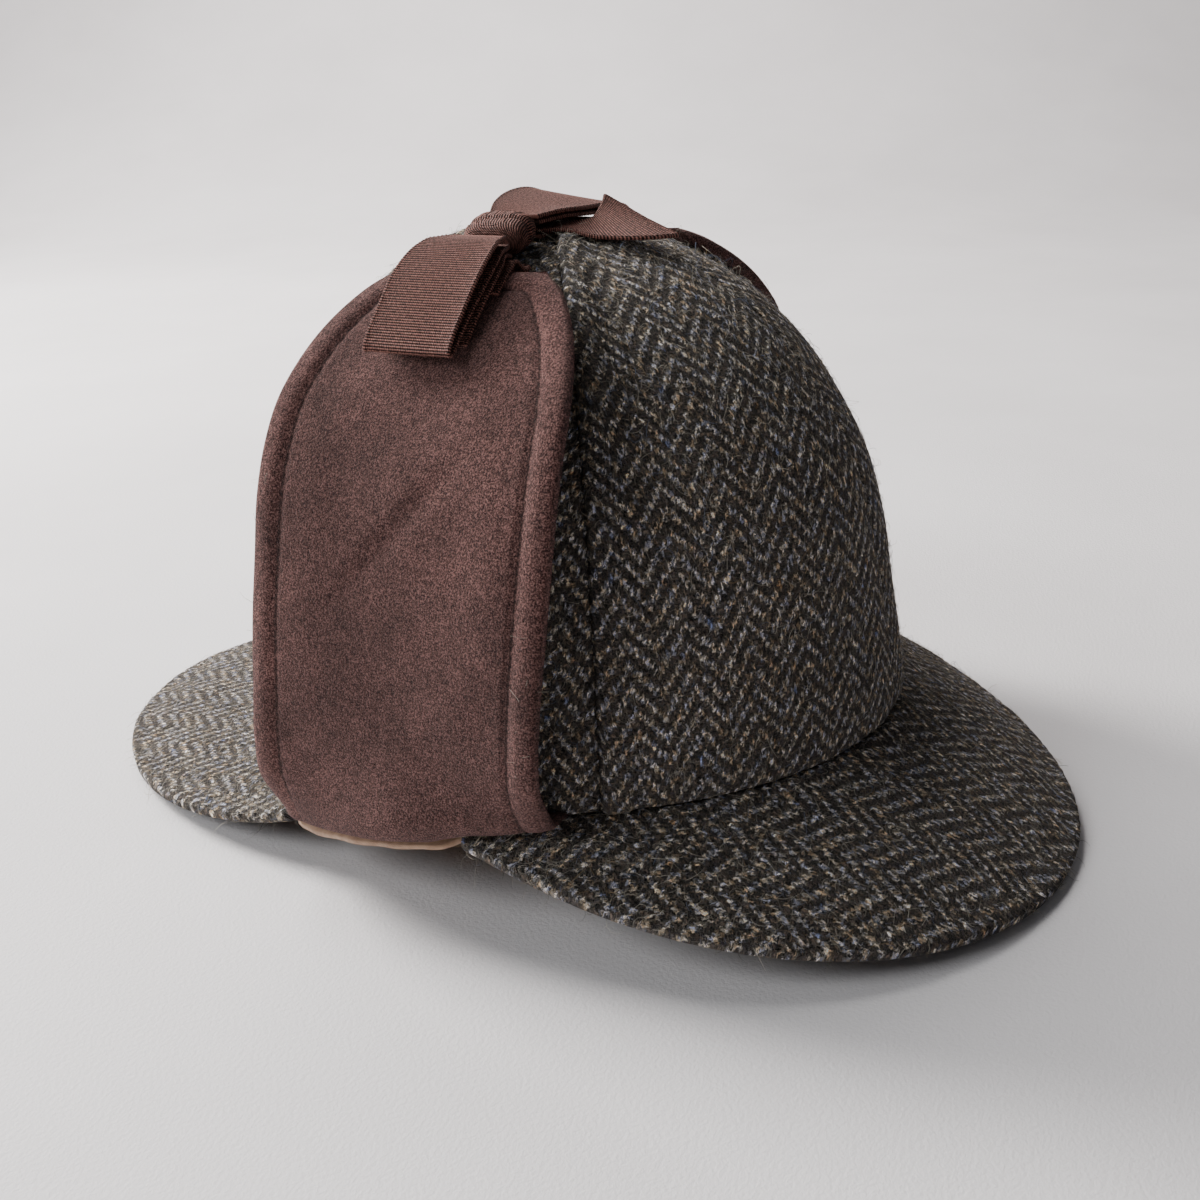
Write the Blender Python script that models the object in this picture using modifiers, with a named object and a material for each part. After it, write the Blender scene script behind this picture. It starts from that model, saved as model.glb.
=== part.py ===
"""Six-panel cloth deerstalker with two peaks, ear flaps folded up and a ribbon bow on its top.

Metres, +Z up, floor at z = 0. The front of the hat faces -Y and the wearer's right side is at -X.
An angle round the hat, theta, is counted from the front towards the wearer's right.
"""
import math

import bmesh
import bpy
from mathutils import Vector

# Crown and lining
CROWN_LENGTH = 0.200        # outside, front to rear at the rim
CROWN_WIDTH = 0.180         # outside, side to side at the rim
CROWN_HEIGHT = 0.1325       # from the side rim to the crown's top
CROWN_WALL = 0.0022         # tweed with its interlining
OVAL_POWER = 1.86           # the head oval from above: 2 is an ellipse, less is leaner between its axes
DOME_POWER = 2.185          # the dome from the side: 2 is an ellipse, more is squarer in the shoulder
WAIST = 0.020               # how far the lower crown draws in, as a share of its width
SEAM_RIDGE = 0.008          # how far a seam stands proud of a panel's middle, as a share of the width
PANEL_COUNT = 6
TIP_RADIUS = 0.0015         # where the six panels end round the crown's top
LINING_WALL = 0.0010
LINING_DROP = 0.0040        # the lining's edge below the crown's rim

# Rim heights, for a hat that stands on its two peaks
RIM_FRONT_Z = 0.0350
RIM_REAR_Z = 0.0130
RIM_BREAK = 0.27            # cosine of the angle, behind the sides, where the rim steps down
RIM_EASE = 0.25             # how gently it does, as a cosine

# Peaks
PEAK_REACH = 0.0512         # how far the front peak stands out from the crown
REAR_PEAK_REACH = 0.0560
PEAK_SPAN = math.radians(79)        # from the peak's middle to its end
REAR_PEAK_SPAN = math.radians(63)
PEAK_WALL = 0.0040          # two layers of tweed over a stiffener
PEAK_POWER = 1.10           # how soon the outline narrows towards its ends
REAR_PEAK_POWER = 1.10
PEAK_END = 0.0055           # a peak's reach at its ends
PEAK_END_DROP = 0.0050      # how far its edge hangs there
PEAK_ARCH = 0.0035          # how far the peak's upper face bulges
EDGE_RISE = 0.0017          # upper edge of a peak's tip above the floor, after the edge is pressed flat

# Ear flaps, folded up
FLAP_WIDTH = 0.082
FLAP_WALL = 0.0018          # each of the flap's two layers
FLAP_STAND_OFF = 0.0052     # the facing's outer face from the crown, at the flap's middle
FLAP_FLARE = 0.0032         # how much further the flap's side edges stand off
FLAP_TIP = 0.925            # where the flap ends, as a share of the crown's height
BACKING_MARGIN = 0.0015     # the facing laps this far past the backing's edge
FOLD_REACH = 0.0090         # the soft fold at the flap's foot, out from the rim
FOLD_SAG = 0.0030           # the fold's lowest line below the rim

# Ribbon
RIBBON_WIDTH = 0.024
RIBBON_WALL = 0.0009
KNOT_SHARE = 0.278          # the bow lies this share of the crown's half width towards the wearer's right
KNOT_LENGTH = 0.013
KNOT_DEPTH = 0.017
KNOT_HEIGHT = 0.0090

CLEAR = 0.0003              # between pieces that touch
LOOSE = 0.0005              # between the crown's wall and the lining that hangs in it

# Facets
PANEL_COLUMNS = 8
DOME_ROWS = 11
LINING_COLUMNS = 4          # for each panel
LINING_ROWS = 8
PEAK_COLUMNS = 26
FLAP_COLUMNS = 8

# One row for each line across an ear flap, from its foot to its tip
FLAP_ROWS = [
    # rise: share of the way to the tip, width: share of FLAP_WIDTH, stand: share of FLAP_STAND_OFF,
    # flare: share of FLAP_FLARE, oval: how far the line follows the rim's curve
    {"rise": 0.060, "width": 1.00, "stand": 1.60, "flare": 0.00, "oval": 0.60},
    {"rise": 0.120, "width": 1.00, "stand": 1.25, "flare": 0.55, "oval": 0.15},
    {"rise": 0.190, "width": 1.00, "stand": 1.05, "flare": 0.70, "oval": 0.00},
    {"rise": 0.300, "width": 1.00, "stand": 1.00, "flare": 0.50, "oval": 0.00},
    {"rise": 0.420, "width": 1.01, "stand": 1.00, "flare": 0.30, "oval": 0.00},
    {"rise": 0.540, "width": 1.01, "stand": 1.00, "flare": 0.35, "oval": 0.00},
    {"rise": 0.640, "width": 1.01, "stand": 1.05, "flare": 0.70, "oval": 0.00},
    {"rise": 0.720, "width": 1.00, "stand": 1.10, "flare": 0.80, "oval": 0.00},
    {"rise": 0.790, "width": 0.98, "stand": 1.10, "flare": 0.70, "oval": 0.00},
    {"rise": 0.850, "width": 0.93, "stand": 1.05, "flare": 0.45, "oval": 0.00},
    {"rise": 0.905, "width": 0.85, "stand": 1.00, "flare": 0.25, "oval": 0.00},
    {"rise": 0.950, "width": 0.74, "stand": 1.00, "flare": 0.10, "oval": 0.00},
    {"rise": 0.980, "width": 0.63, "stand": 1.00, "flare": 0.05, "oval": 0.00},
    {"rise": 1.000, "width": 0.50, "stand": 1.00, "flare": 0.00, "oval": 0.00},
]

# The fold at a flap's foot: reach is a share of FOLD_REACH, sag a share of FOLD_SAG
FOLD_ROWS = [
    {"reach": 0.10, "sag": 0.15},
    {"reach": 0.45, "sag": 1.00},
    {"reach": 0.82, "sag": 0.72},
    {"reach": 1.00, "sag": -0.60},
]

# How the fold's sag varies across the flap, from its front edge (-1) to its rear edge (1)
SAG_COLUMNS = [(-1.0, -0.40), (-0.75, 0.00), (-0.50, 0.15), (-0.25, 0.95), (0.0, 0.90), (1.0, 0.90)]

# Ribbons. along: 0 at the knot's end, 1 over the ear flap's tip, and each 1 past that is a RIBBON_WIDTH,
# lift: from the flap's outer face, gap: from a loop's upper layer to its lower one, width, and shift
# towards the rear: shares of RIBBON_WIDTH, tilt: degrees about the ribbon's length
RIGHT_LOOP = [
    {"along": 0.000, "lift": 0.150, "gap": 0.130, "width": 0.60, "shift": 0.00, "tilt": 0},
    {"along": 0.300, "lift": 0.205, "gap": 0.150, "width": 0.70, "shift": 0.01, "tilt": 0},
    {"along": 0.562, "lift": 0.250, "gap": 0.155, "width": 0.78, "shift": 0.02, "tilt": 0},
    {"along": 0.749, "lift": 0.285, "gap": 0.155, "width": 0.83, "shift": 0.03, "tilt": 0},
    {"along": 1.053, "lift": 0.320, "gap": 0.175, "width": 0.92, "shift": 0.05, "tilt": 0},
    {"along": 1.283, "lift": 0.320, "gap": 0.180, "width": 1.00, "shift": 0.09, "tilt": 0},
    {"along": 1.553, "lift": 0.280, "gap": 0.150, "width": 1.00, "shift": 0.12, "tilt": 0},
    {"along": 1.813, "lift": 0.235, "gap": 0.105, "width": 1.00, "shift": 0.15, "tilt": 0},
]
LEFT_LOOP = [
    {"along": 0.000, "lift": 0.05, "gap": 0.09, "width": 0.60, "shift": 0.00, "tilt": 0},
    {"along": 0.128, "lift": 0.05, "gap": 0.09, "width": 0.85, "shift": 0.00, "tilt": 4},
    {"along": 0.276, "lift": 0.05, "gap": 0.09, "width": 1.00, "shift": 0.00, "tilt": 8},
    {"along": 0.446, "lift": 0.06, "gap": 0.10, "width": 1.00, "shift": 0.00, "tilt": 10},
    {"along": 0.617, "lift": 0.06, "gap": 0.10, "width": 1.00, "shift": 0.00, "tilt": 7},
    {"along": 0.744, "lift": 0.04, "gap": 0.09, "width": 1.00, "shift": 0.00, "tilt": 4},
]
RIGHT_TAIL = [
    {"along": 0.000, "lift": -0.065, "width": 0.60, "shift": 0.00, "tilt": 0},
    {"along": 0.300, "lift": 0.000, "width": 0.70, "shift": 0.00, "tilt": 0},
    {"along": 0.562, "lift": 0.065, "width": 0.80, "shift": 0.01, "tilt": 0},
    {"along": 0.749, "lift": 0.110, "width": 0.83, "shift": 0.01, "tilt": 0},
    {"along": 1.053, "lift": 0.120, "width": 0.92, "shift": 0.02, "tilt": 0},
    {"along": 1.283, "lift": 0.115, "width": 1.00, "shift": 0.05, "tilt": 0},
    {"along": 1.533, "lift": 0.090, "width": 1.00, "shift": 0.08, "tilt": 0},
    {"along": 1.753, "lift": 0.060, "width": 1.00, "shift": 0.11, "tilt": 0},
]
# Edges of the tail that turns to the front: along from the knot's end, y, and lift over the crown
FRONT_TAIL = [
    {"near": (0.00, -0.23, 0.120), "far": (0.00, 0.25, 0.120)},
    {"near": (0.14, -0.54, 0.112), "far": (0.35, -0.15, 0.117)},
    {"near": (0.18, -0.92, 0.105), "far": (0.56, -0.58, 0.125)},
    {"near": (0.37, -1.37, 0.190), "far": (0.75, -0.63, 0.260)},
    {"near": (0.70, -1.62, 0.250), "far": (0.85, -0.63, 0.370)},
]
# The leads. On the crown: share of the way to the climb, and width. Past the flap's tip: shares of RIBBON_WIDTH
LEAD_ON_CROWN = [
    (0.00, 0.60), (0.15, 0.75), (0.30, 0.90), (0.45, 1.00),
    (0.60, 1.00), (0.75, 1.00), (0.88, 1.00), (1.00, 1.00),
]
LEAD_ON_FLAP = [-0.06, 0.06, 0.18, 0.30]
LEAD_CLIMB = 0.78           # where the climb starts before the flap's tip, in lengths of the short lead
KNOT_SQUARENESS = 0.60
KNOT_FULLNESS = 1.25


def power(value, exponent):
    """Signed power, for the superellipse curves."""
    return math.copysign(abs(value) ** exponent, value)


def between(pairs, at):
    """Straight-line reading of a table of (place, value) pairs."""
    if at <= pairs[0][0]:
        return pairs[0][1]
    for (low, first), (high, last) in zip(pairs, pairs[1:]):
        if at <= high:
            return first + (last - first) * (at - low) / (high - low)
    return pairs[-1][1]


def rim_z(theta):
    """Height of the crown's lower edge."""
    step = 1 / (1 + math.exp(-(math.cos(theta) + RIM_BREAK) / RIM_EASE))
    return RIM_REAR_Z + (RIM_FRONT_Z - RIM_REAR_Z) * step


def side_rim_z():
    return rim_z(math.pi / 2)


def oval_shares(theta):
    """Place on the head oval, as shares of its half width and half length."""
    return -power(math.sin(theta), 2 / OVAL_POWER), -power(math.cos(theta), 2 / OVAL_POWER)


def oval_point(theta, out):
    """Point of the head oval, moved `out` along the oval's normal."""
    half_x, half_y = CROWN_WIDTH / 2, CROWN_LENGTH / 2
    share_x, share_y = oval_shares(theta)
    x, y = half_x * share_x, half_y * share_y
    normal = Vector((x / half_x ** 2, y / half_y ** 2, 0)).normalized()
    return Vector((x, y, 0)) + normal * out


def dome_shares(tau):
    """Width and height of the dome at the angle tau above its rim, as shares."""
    height = power(math.sin(tau), 2 / DOME_POWER)
    width = power(math.cos(tau), 2 / DOME_POWER)
    waist = WAIST * math.sin(math.pi * min(height / 0.6, 1)) ** 2
    return width * (1 - waist), height


def crown_point(theta, tau, inset):
    """Point of the crown's face, `inset` inside the outer one."""
    width, height = dome_shares(tau)
    ridge = SEAM_RIDGE * (math.cos(PANEL_COUNT / 2 * theta) ** 2 - 1) * math.sin(2 * tau)
    width *= 1 + ridge
    share_x, share_y = oval_shares(theta)
    x = (CROWN_WIDTH / 2 - inset) * share_x * width
    y = (CROWN_LENGTH / 2 - inset) * share_y * width
    top = side_rim_z() + CROWN_HEIGHT - inset
    return Vector((x, y, rim_z(theta) * (1 - height) + top * height))


def tau_of_radius(radius):
    """Angle above the rim at which the dome has narrowed to `radius`."""
    return math.acos((radius / (CROWN_WIDTH / 2)) ** (DOME_POWER / 2))


def new_object(name, mesh, material):
    thing = bpy.data.objects.new(name, mesh)
    mesh.materials.append(material)
    PARTS.objects.link(thing)
    mesh.shade_smooth()
    mesh.set_sharp_from_angle(angle=math.radians(50))
    return thing


def grid_mesh(name, rows, closed=False, cap=None):
    """Open surface through rows of points; `closed` joins each row's ends, `cap` is a last single point."""
    mesh = bpy.data.meshes.new(name)
    surface = bmesh.new()
    lines = [[surface.verts.new(point) for point in row] for row in rows]
    for lower, upper in zip(lines, lines[1:]):
        count = len(lower)
        for i in range(count if closed else count - 1):
            j = (i + 1) % count
            surface.faces.new((lower[i], lower[j], upper[j], upper[i]))
    if cap is not None:
        tip = surface.verts.new(cap)
        top = lines[-1]
        for i in range(len(top) if closed else len(top) - 1):
            surface.faces.new((top[i], top[(i + 1) % len(top)], tip))
    bmesh.ops.recalc_face_normals(surface, faces=surface.faces)
    surface.to_mesh(mesh)
    surface.free()
    return mesh


def face_outward(mesh, centre):
    """Turns the surface so that its faces look away from `centre`."""
    total = sum((face.center - centre).dot(face.normal) * face.area for face in mesh.polygons)
    if total < 0:
        mesh.flip_normals()


def thicken(thing, wall):
    """Gives an open surface its wall, behind its faces."""
    shell = thing.modifiers.new("wall", "SOLIDIFY")
    shell.thickness = wall
    shell.offset = -1
    shell.use_even_offset = True


def crown_panels(cloth):
    """The six tapered panels, with a seam at the front and one at the rear."""
    names = ["front_right", "side_right", "rear_right", "rear_left", "side_left", "front_left"]
    pitch = 2 * math.pi / PANEL_COUNT
    last = tau_of_radius(TIP_RADIUS)
    # neighbouring walls lean together by half a facet, so the seam is wider outside than inside
    seam = CLEAR + 2 * CROWN_WALL * math.sin(pitch / PANEL_COLUMNS / 2)
    for k, name in enumerate(names[:PANEL_COUNT]):
        rows = []
        for r in range(DOME_ROWS + 1):
            tau = last * r / DOME_ROWS
            row = []
            for c in range(PANEL_COLUMNS + 1):
                theta = pitch * (k + c / PANEL_COLUMNS)
                point = crown_point(theta, tau, 0)
                across = Vector((-math.cos(theta), math.sin(theta), 0))
                if c == 0:
                    point += across * seam / 2
                if c == PANEL_COLUMNS:
                    point -= across * seam / 2
                row.append(point)
            rows.append(row)
        mesh = grid_mesh("crown_panel_" + name, rows)
        face_outward(mesh, Vector((0, 0, side_rim_z())))
        panel = new_object("crown_panel_" + name, mesh, cloth)
        thicken(panel, CROWN_WALL)


def lining(cloth):
    """The dome inside the crown, whose edge shows under the rim."""
    inset = CROWN_WALL + LOOSE
    columns = PANEL_COUNT * LINING_COLUMNS
    angles = [2 * math.pi * c / columns for c in range(columns)]
    edge = [crown_point(theta, 0, inset) - Vector((0, 0, LINING_DROP)) for theta in angles]
    rows = [edge]
    for r in range(LINING_ROWS):
        tau = math.pi / 2 * r / LINING_ROWS
        rows.append([crown_point(theta, tau, inset) for theta in angles])
    top = crown_point(0, math.pi / 2, inset)
    mesh = grid_mesh("lining", rows, closed=True, cap=top)
    face_outward(mesh, Vector((0, 0, side_rim_z())))
    thicken(new_object("lining", mesh, cloth), LINING_WALL)


def peak_rows(middle, span, reach, narrowing):
    """Upper face of a peak: its margin under the crown, then lines out to its edge."""
    lines = [0.0, 0.22, 0.48, 0.74, 0.92, 1.0]
    rows = []
    for c in range(PEAK_COLUMNS + 1):
        turn = span * (2 * c / PEAK_COLUMNS - 1)
        theta = middle + turn
        share = max(math.cos(turn / span * math.pi / 2), 0) ** narrowing
        seat = rim_z(theta) - CLEAR
        width = PEAK_END + (reach - PEAK_END) * share
        drop = (seat - EDGE_RISE) * share + PEAK_END_DROP * (1 - share)
        row = [oval_point(theta, -CROWN_WALL) + Vector((0, 0, seat))]
        for line in lines:
            arch = PEAK_ARCH * share * 4 * line * (1 - line)
            out = LOOSE + (width - LOOSE) * line
            row.append(oval_point(theta, out) + Vector((0, 0, seat - drop * line + arch * line)))
        rows.append(row)
    return rows


def peak(name, middle, span, reach, narrowing, cloth, floor):
    """A stiffened peak, pressed flat where its edge meets the floor."""
    mesh = grid_mesh(name, peak_rows(middle, span, reach, narrowing))
    face_outward(mesh, Vector((0, 0, -1)))
    thing = new_object(name, mesh, cloth)
    thicken(thing, PEAK_WALL)
    trim = thing.modifiers.new("floor", "BOOLEAN")
    trim.operation = "DIFFERENCE"
    trim.object = floor
    return thing


def floor_cutter():
    """Block whose top is the floor that the peaks are pressed against."""
    side = 2 * (CROWN_LENGTH + PEAK_REACH + REAR_PEAK_REACH)
    depth = 0.05
    bpy.ops.mesh.primitive_cube_add(size=1, location=(0, 0, -depth / 2))
    block = bpy.context.object
    block.name = "floor_cutter"
    for vertex in block.data.vertices:
        vertex.co.x *= side
        vertex.co.y *= side
        vertex.co.z *= depth
    for collection in list(block.users_collection):
        collection.objects.unlink(block)
    CUTTERS.objects.link(block)
    block.hide_render = True
    block.display_type = "WIRE"
    return block


def side_profile(height):
    """Half width and outward direction of the crown seen from the front, at a share of its height."""
    width = (1 - height ** DOME_POWER) ** (1 / DOME_POWER)
    normal = Vector((width ** (DOME_POWER - 1) / (CROWN_WIDTH / 2), 0,
                     height ** (DOME_POWER - 1) / CROWN_HEIGHT)).normalized()
    return width * CROWN_WIDTH / 2, normal


def flap_value(rise, column):
    return between([(row["rise"], row[column]) for row in FLAP_ROWS], rise)


def oval_hollow(y):
    """How far the head oval has drawn in at `y`, as a share of its half width, and the angle there."""
    share = min(abs(y) / (CROWN_LENGTH / 2), 1)
    half = (1 - share ** OVAL_POWER) ** (1 / OVAL_POWER)
    theta = math.acos(power(-y / (CROWN_LENGTH / 2), OVAL_POWER / 2))
    return 1 - half, theta


def flap_point(rise, across, inset, margin=0.0):
    """Point of the right ear flap: `across` runs from -1 at its front edge to 1 at its rear edge."""
    half = FLAP_WIDTH / 2 * flap_value(rise, "width")
    y = across * (half - margin)
    height = rise * FLAP_TIP
    x, normal = side_profile(height)
    hollow, theta = oval_hollow(y)
    x *= 1 - hollow * flap_value(rise, "oval")
    lift = (rim_z(theta) - side_rim_z()) * (1 - height)
    flare = FLAP_FLARE * flap_value(rise, "flare") * (y / half) ** 2
    stand = FLAP_STAND_OFF * flap_value(rise, "stand") + flare
    base = Vector((x, y, side_rim_z() + CROWN_HEIGHT * height + lift))
    point = base + normal * (stand - inset)
    return Vector((-point.x, point.y, point.z))


def fold_point(row, across):
    """Point of the soft fold at the flap's foot, outside the crown's rim."""
    y = across * FLAP_WIDTH / 2
    theta = oval_hollow(y)[1]
    sag = FOLD_SAG * row["sag"]
    if row["sag"] > 0:
        sag *= between(SAG_COLUMNS, across)
    point = oval_point(theta, FOLD_REACH * row["reach"])
    return Vector((point.x, y, rim_z(theta) - sag))


def mirrored(rows):
    return [[Vector((-point.x, point.y, point.z)) for point in row] for row in rows]


def flap_rows(inset, margin):
    """Lines across a layer of the right flap, from its foot to its tip; only the facing has the fold."""
    steps = [2 * c / FLAP_COLUMNS - 1 for c in range(FLAP_COLUMNS + 1)]
    rows = []
    if inset == 0:
        rows += [[fold_point(row, across) for across in steps] for row in FOLD_ROWS]
    for row in FLAP_ROWS if inset == 0 else FLAP_ROWS[1:]:
        rise = row["rise"] - (margin / CROWN_HEIGHT if row["rise"] == 1 else 0)
        rows.append([flap_point(rise, across, inset, margin) for across in steps])
    return rows


def ear_flap(side, facing_cloth, backing_cloth):
    """A folded-up ear flap: its soft outer facing, and the tweed backing next to the crown."""
    layers = [("flap_facing_", 0, 0, facing_cloth),
              ("flap_backing_", FLAP_WALL + CLEAR, BACKING_MARGIN, backing_cloth)]
    for prefix, inset, margin, cloth in layers:
        rows = flap_rows(inset, margin)
        if side == "left":
            rows = mirrored(rows)
        mesh = grid_mesh(prefix + side, rows)
        face_outward(mesh, Vector((0, 0, 2 * side_rim_z())))
        thicken(new_object(prefix + side, mesh, cloth), FLAP_WALL)


def flap_level(height, y):
    """How far the top of whatever lies under the bow stands off the crown's side profile."""
    rise = height / FLAP_TIP
    if rise > 1:
        return FLAP_STAND_OFF
    half = FLAP_WIDTH / 2 * flap_value(rise, "width")
    flare = FLAP_FLARE * flap_value(rise, "flare") * (y / half) ** 2
    return FLAP_STAND_OFF * flap_value(rise, "stand") + flare


def top_point(x, y, lift):
    """Point over the hat's top, `lift` above the level of the ear flaps' outer faces."""
    share = abs(x) / (CROWN_WIDTH / 2)
    height = (1 - share ** DOME_POWER) ** (1 / DOME_POWER)
    normal = side_profile(height)[1]
    base = Vector((abs(x), y, side_rim_z() + CROWN_HEIGHT * height))
    point = base + normal * (flap_level(height, y) + lift)
    return Vector((math.copysign(point.x, x), point.y, point.z))


def crown_top(x, y, lift):
    """Point `lift` over the crown itself, near its top."""
    share = (abs(x) / (CROWN_WIDTH / 2)) ** OVAL_POWER + (abs(y) / (CROWN_LENGTH / 2)) ** OVAL_POWER
    height = (1 - share ** (DOME_POWER / OVAL_POWER)) ** (1 / DOME_POWER)
    return Vector((x, y, side_rim_z() + CROWN_HEIGHT * height + lift))


def knot_x():
    """Where the bow is tied."""
    return -KNOT_SHARE * CROWN_WIDTH / 2


def exit_x(side):
    """Where ribbons leave the knot, towards one side."""
    return knot_x() + side * (KNOT_LENGTH / 2 + 2 * CLEAR)


def tip_x(side):
    """Where a flap's tip lies on the crown's side profile."""
    return side * side_profile(FLAP_TIP)[0]


def station_x(side, along):
    """Where a row of a loop or a tail lies, from its place in the table."""
    if along > 1:
        return tip_x(side) + side * RIBBON_WIDTH * (along - 1)
    return exit_x(side) + (tip_x(side) - exit_x(side)) * along


def ribbon_row(x, lift, width, shift=0.0, tilt=0.0):
    """Three points across a ribbon whose middle lies at `x`; width and shift are shares of RIBBON_WIDTH."""
    half = RIBBON_WIDTH / 2 * width
    row = []
    for across in (-1, 0, 1):
        y = RIBBON_WIDTH * shift + across * half * math.cos(math.radians(tilt))
        row.append(top_point(x, y, lift + across * half * math.sin(math.radians(tilt))))
    return row


def strip(name, rows, inside, cloth):
    """A length of ribbon through rows of points across it; its wall is on the side of `inside`."""
    mesh = grid_mesh(name, rows)
    face_outward(mesh, inside)
    thicken(new_object(name, mesh, cloth), RIBBON_WALL)


def bow_loop(name, side, stations, cloth):
    """A loop: out along its upper layer, round its fold and back along its lower layer."""
    upper, lower = [], []
    for station in stations:
        x = station_x(side, station["along"])
        lift = RIBBON_WIDTH * station["lift"]
        form = station["width"], station["shift"], station["tilt"]
        upper.append(ribbon_row(x, lift, *form))
        lower.append(ribbon_row(x, lift - RIBBON_WIDTH * station["gap"], *form))
    last = stations[-1]
    radius = RIBBON_WIDTH * last["gap"] / 2
    fold = []
    for turn in (45, 90, 135):
        angle = math.radians(turn)
        x = station_x(side, last["along"]) + side * radius * math.sin(angle)
        lift = RIBBON_WIDTH * last["lift"] - radius * (1 - math.cos(angle))
        fold.append(ribbon_row(x, lift, last["width"], last["shift"], last["tilt"]))
    inside = (upper[len(upper) // 2][1] + lower[len(lower) // 2][1]) / 2
    strip(name, upper + fold + lower[::-1], inside, cloth)


def bow_tail(name, side, stations, cloth):
    """A single layer that lies flat under a loop."""
    rows = []
    for station in stations:
        x = station_x(side, station["along"])
        lift = RIBBON_WIDTH * station["lift"]
        rows.append(ribbon_row(x, lift, station["width"], station["shift"], station["tilt"]))
    strip(name, rows, Vector((0, 0, side_rim_z())), cloth)


def front_tail(cloth):
    """The tail that turns from the knot towards the front, its far edge raised."""
    rows = []
    for row in FRONT_TAIL:
        ends = []
        for edge in ("near", "far"):
            along, y, lift = (RIBBON_WIDTH * share for share in row[edge])
            ends.append(crown_top(exit_x(1) + along, y, lift))
        rows.append([ends[0], (ends[0] + ends[1]) / 2, ends[1]])
    strip("ribbon_tail_front", rows, Vector((0, 0, side_rim_z())), cloth)


def lead(name, side, cloth):
    """The ribbon from a flap's tip to the knot: over the tip, then down on the crown."""
    resting = CLEAR + RIBBON_WALL
    climb = LEAD_CLIMB * abs(tip_x(-1) - exit_x(-1))
    rows = []
    for share, width in LEAD_ON_CROWN:
        x = exit_x(side) + (tip_x(side) - side * climb - exit_x(side)) * share
        rows.append(ribbon_row(x, resting - FLAP_STAND_OFF, width))
    for past in LEAD_ON_FLAP:
        rows.append(ribbon_row(tip_x(side) + side * RIBBON_WIDTH * past, resting, 1))
    strip(name, rows, Vector((0, 0, side_rim_z())), cloth)


def knot(cloth):
    """The ribbon wrapped round the middle of the bow: a rounded block, tipped with the crown."""
    shape = bmesh.new()
    bmesh.ops.create_uvsphere(shape, u_segments=14, v_segments=8, radius=1)
    for vertex in shape.verts:
        vertex.co = Vector([power(value, KNOT_SQUARENESS) for value in vertex.co])
        vertex.co *= 1 / max(1, vertex.co.length / KNOT_FULLNESS)
    for vertex in shape.verts:
        vertex.co.x *= KNOT_LENGTH / 2
        vertex.co.y *= KNOT_DEPTH / 2
        vertex.co.z *= KNOT_HEIGHT / 2
    mesh = bpy.data.meshes.new("ribbon_knot")
    shape.to_mesh(mesh)
    shape.free()
    block = new_object("ribbon_knot", mesh, cloth)
    normal = side_profile((1 - KNOT_SHARE ** DOME_POWER) ** (1 / DOME_POWER))[1]
    block.rotation_euler.y = -math.atan2(normal.x, normal.z)
    block.location = top_point(knot_x(), 0, KNOT_HEIGHT / 2 + CLEAR - FLAP_STAND_OFF)


def cloth_material(name, colour, roughness):
    material = bpy.data.materials.new(name)
    material.use_nodes = True
    shader = material.node_tree.nodes["Principled BSDF"]
    shader.inputs["Base Color"].default_value = (*colour, 1)
    shader.inputs["Roughness"].default_value = roughness
    shader.inputs["Metallic"].default_value = 0
    return material


def collection(name):
    group = bpy.data.collections.new(name)
    bpy.context.scene.collection.children.link(group)
    return group


def centre_on_origin():
    """Hangs every piece on one empty, so that the two peaks reach equally far from the origin."""
    hat = bpy.data.objects.new("hat", None)
    bpy.context.scene.collection.objects.link(hat)
    hat.location.y = (PEAK_REACH - REAR_PEAK_REACH) / 2
    for thing in [*PARTS.objects, *CUTTERS.objects]:
        thing.parent = hat


for old in list(bpy.data.objects):
    bpy.data.objects.remove(old, do_unlink=True)
PARTS = collection("deerstalker_hat")
CUTTERS = collection("cutters")

TWEED = cloth_material("tweed", (0.085, 0.078, 0.066), 0.95)
MOLESKIN = cloth_material("moleskin", (0.095, 0.052, 0.045), 0.95)
LINING_CLOTH = cloth_material("lining", (0.46, 0.30, 0.21), 0.6)
GROSGRAIN = cloth_material("grosgrain", (0.062, 0.033, 0.028), 0.65)

crown_panels(TWEED)
lining(LINING_CLOTH)
FLOOR = floor_cutter()
peak("peak_front", 0, PEAK_SPAN, PEAK_REACH, PEAK_POWER, TWEED, FLOOR)
peak("peak_rear", math.pi, REAR_PEAK_SPAN, REAR_PEAK_REACH, REAR_PEAK_POWER, TWEED, FLOOR)
ear_flap("right", MOLESKIN, TWEED)
ear_flap("left", MOLESKIN, TWEED)
bow_loop("ribbon_loop_right", -1, RIGHT_LOOP, GROSGRAIN)
bow_loop("ribbon_loop_left", 1, LEFT_LOOP, GROSGRAIN)
bow_tail("ribbon_tail_right", -1, RIGHT_TAIL, GROSGRAIN)
front_tail(GROSGRAIN)
lead("ribbon_lead_right", -1, GROSGRAIN)
lead("ribbon_lead_left", 1, GROSGRAIN)
knot(GROSGRAIN)
centre_on_origin()
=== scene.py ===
import math

import bmesh
import bpy
import numpy as np
from mathutils import Matrix, Vector


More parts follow.
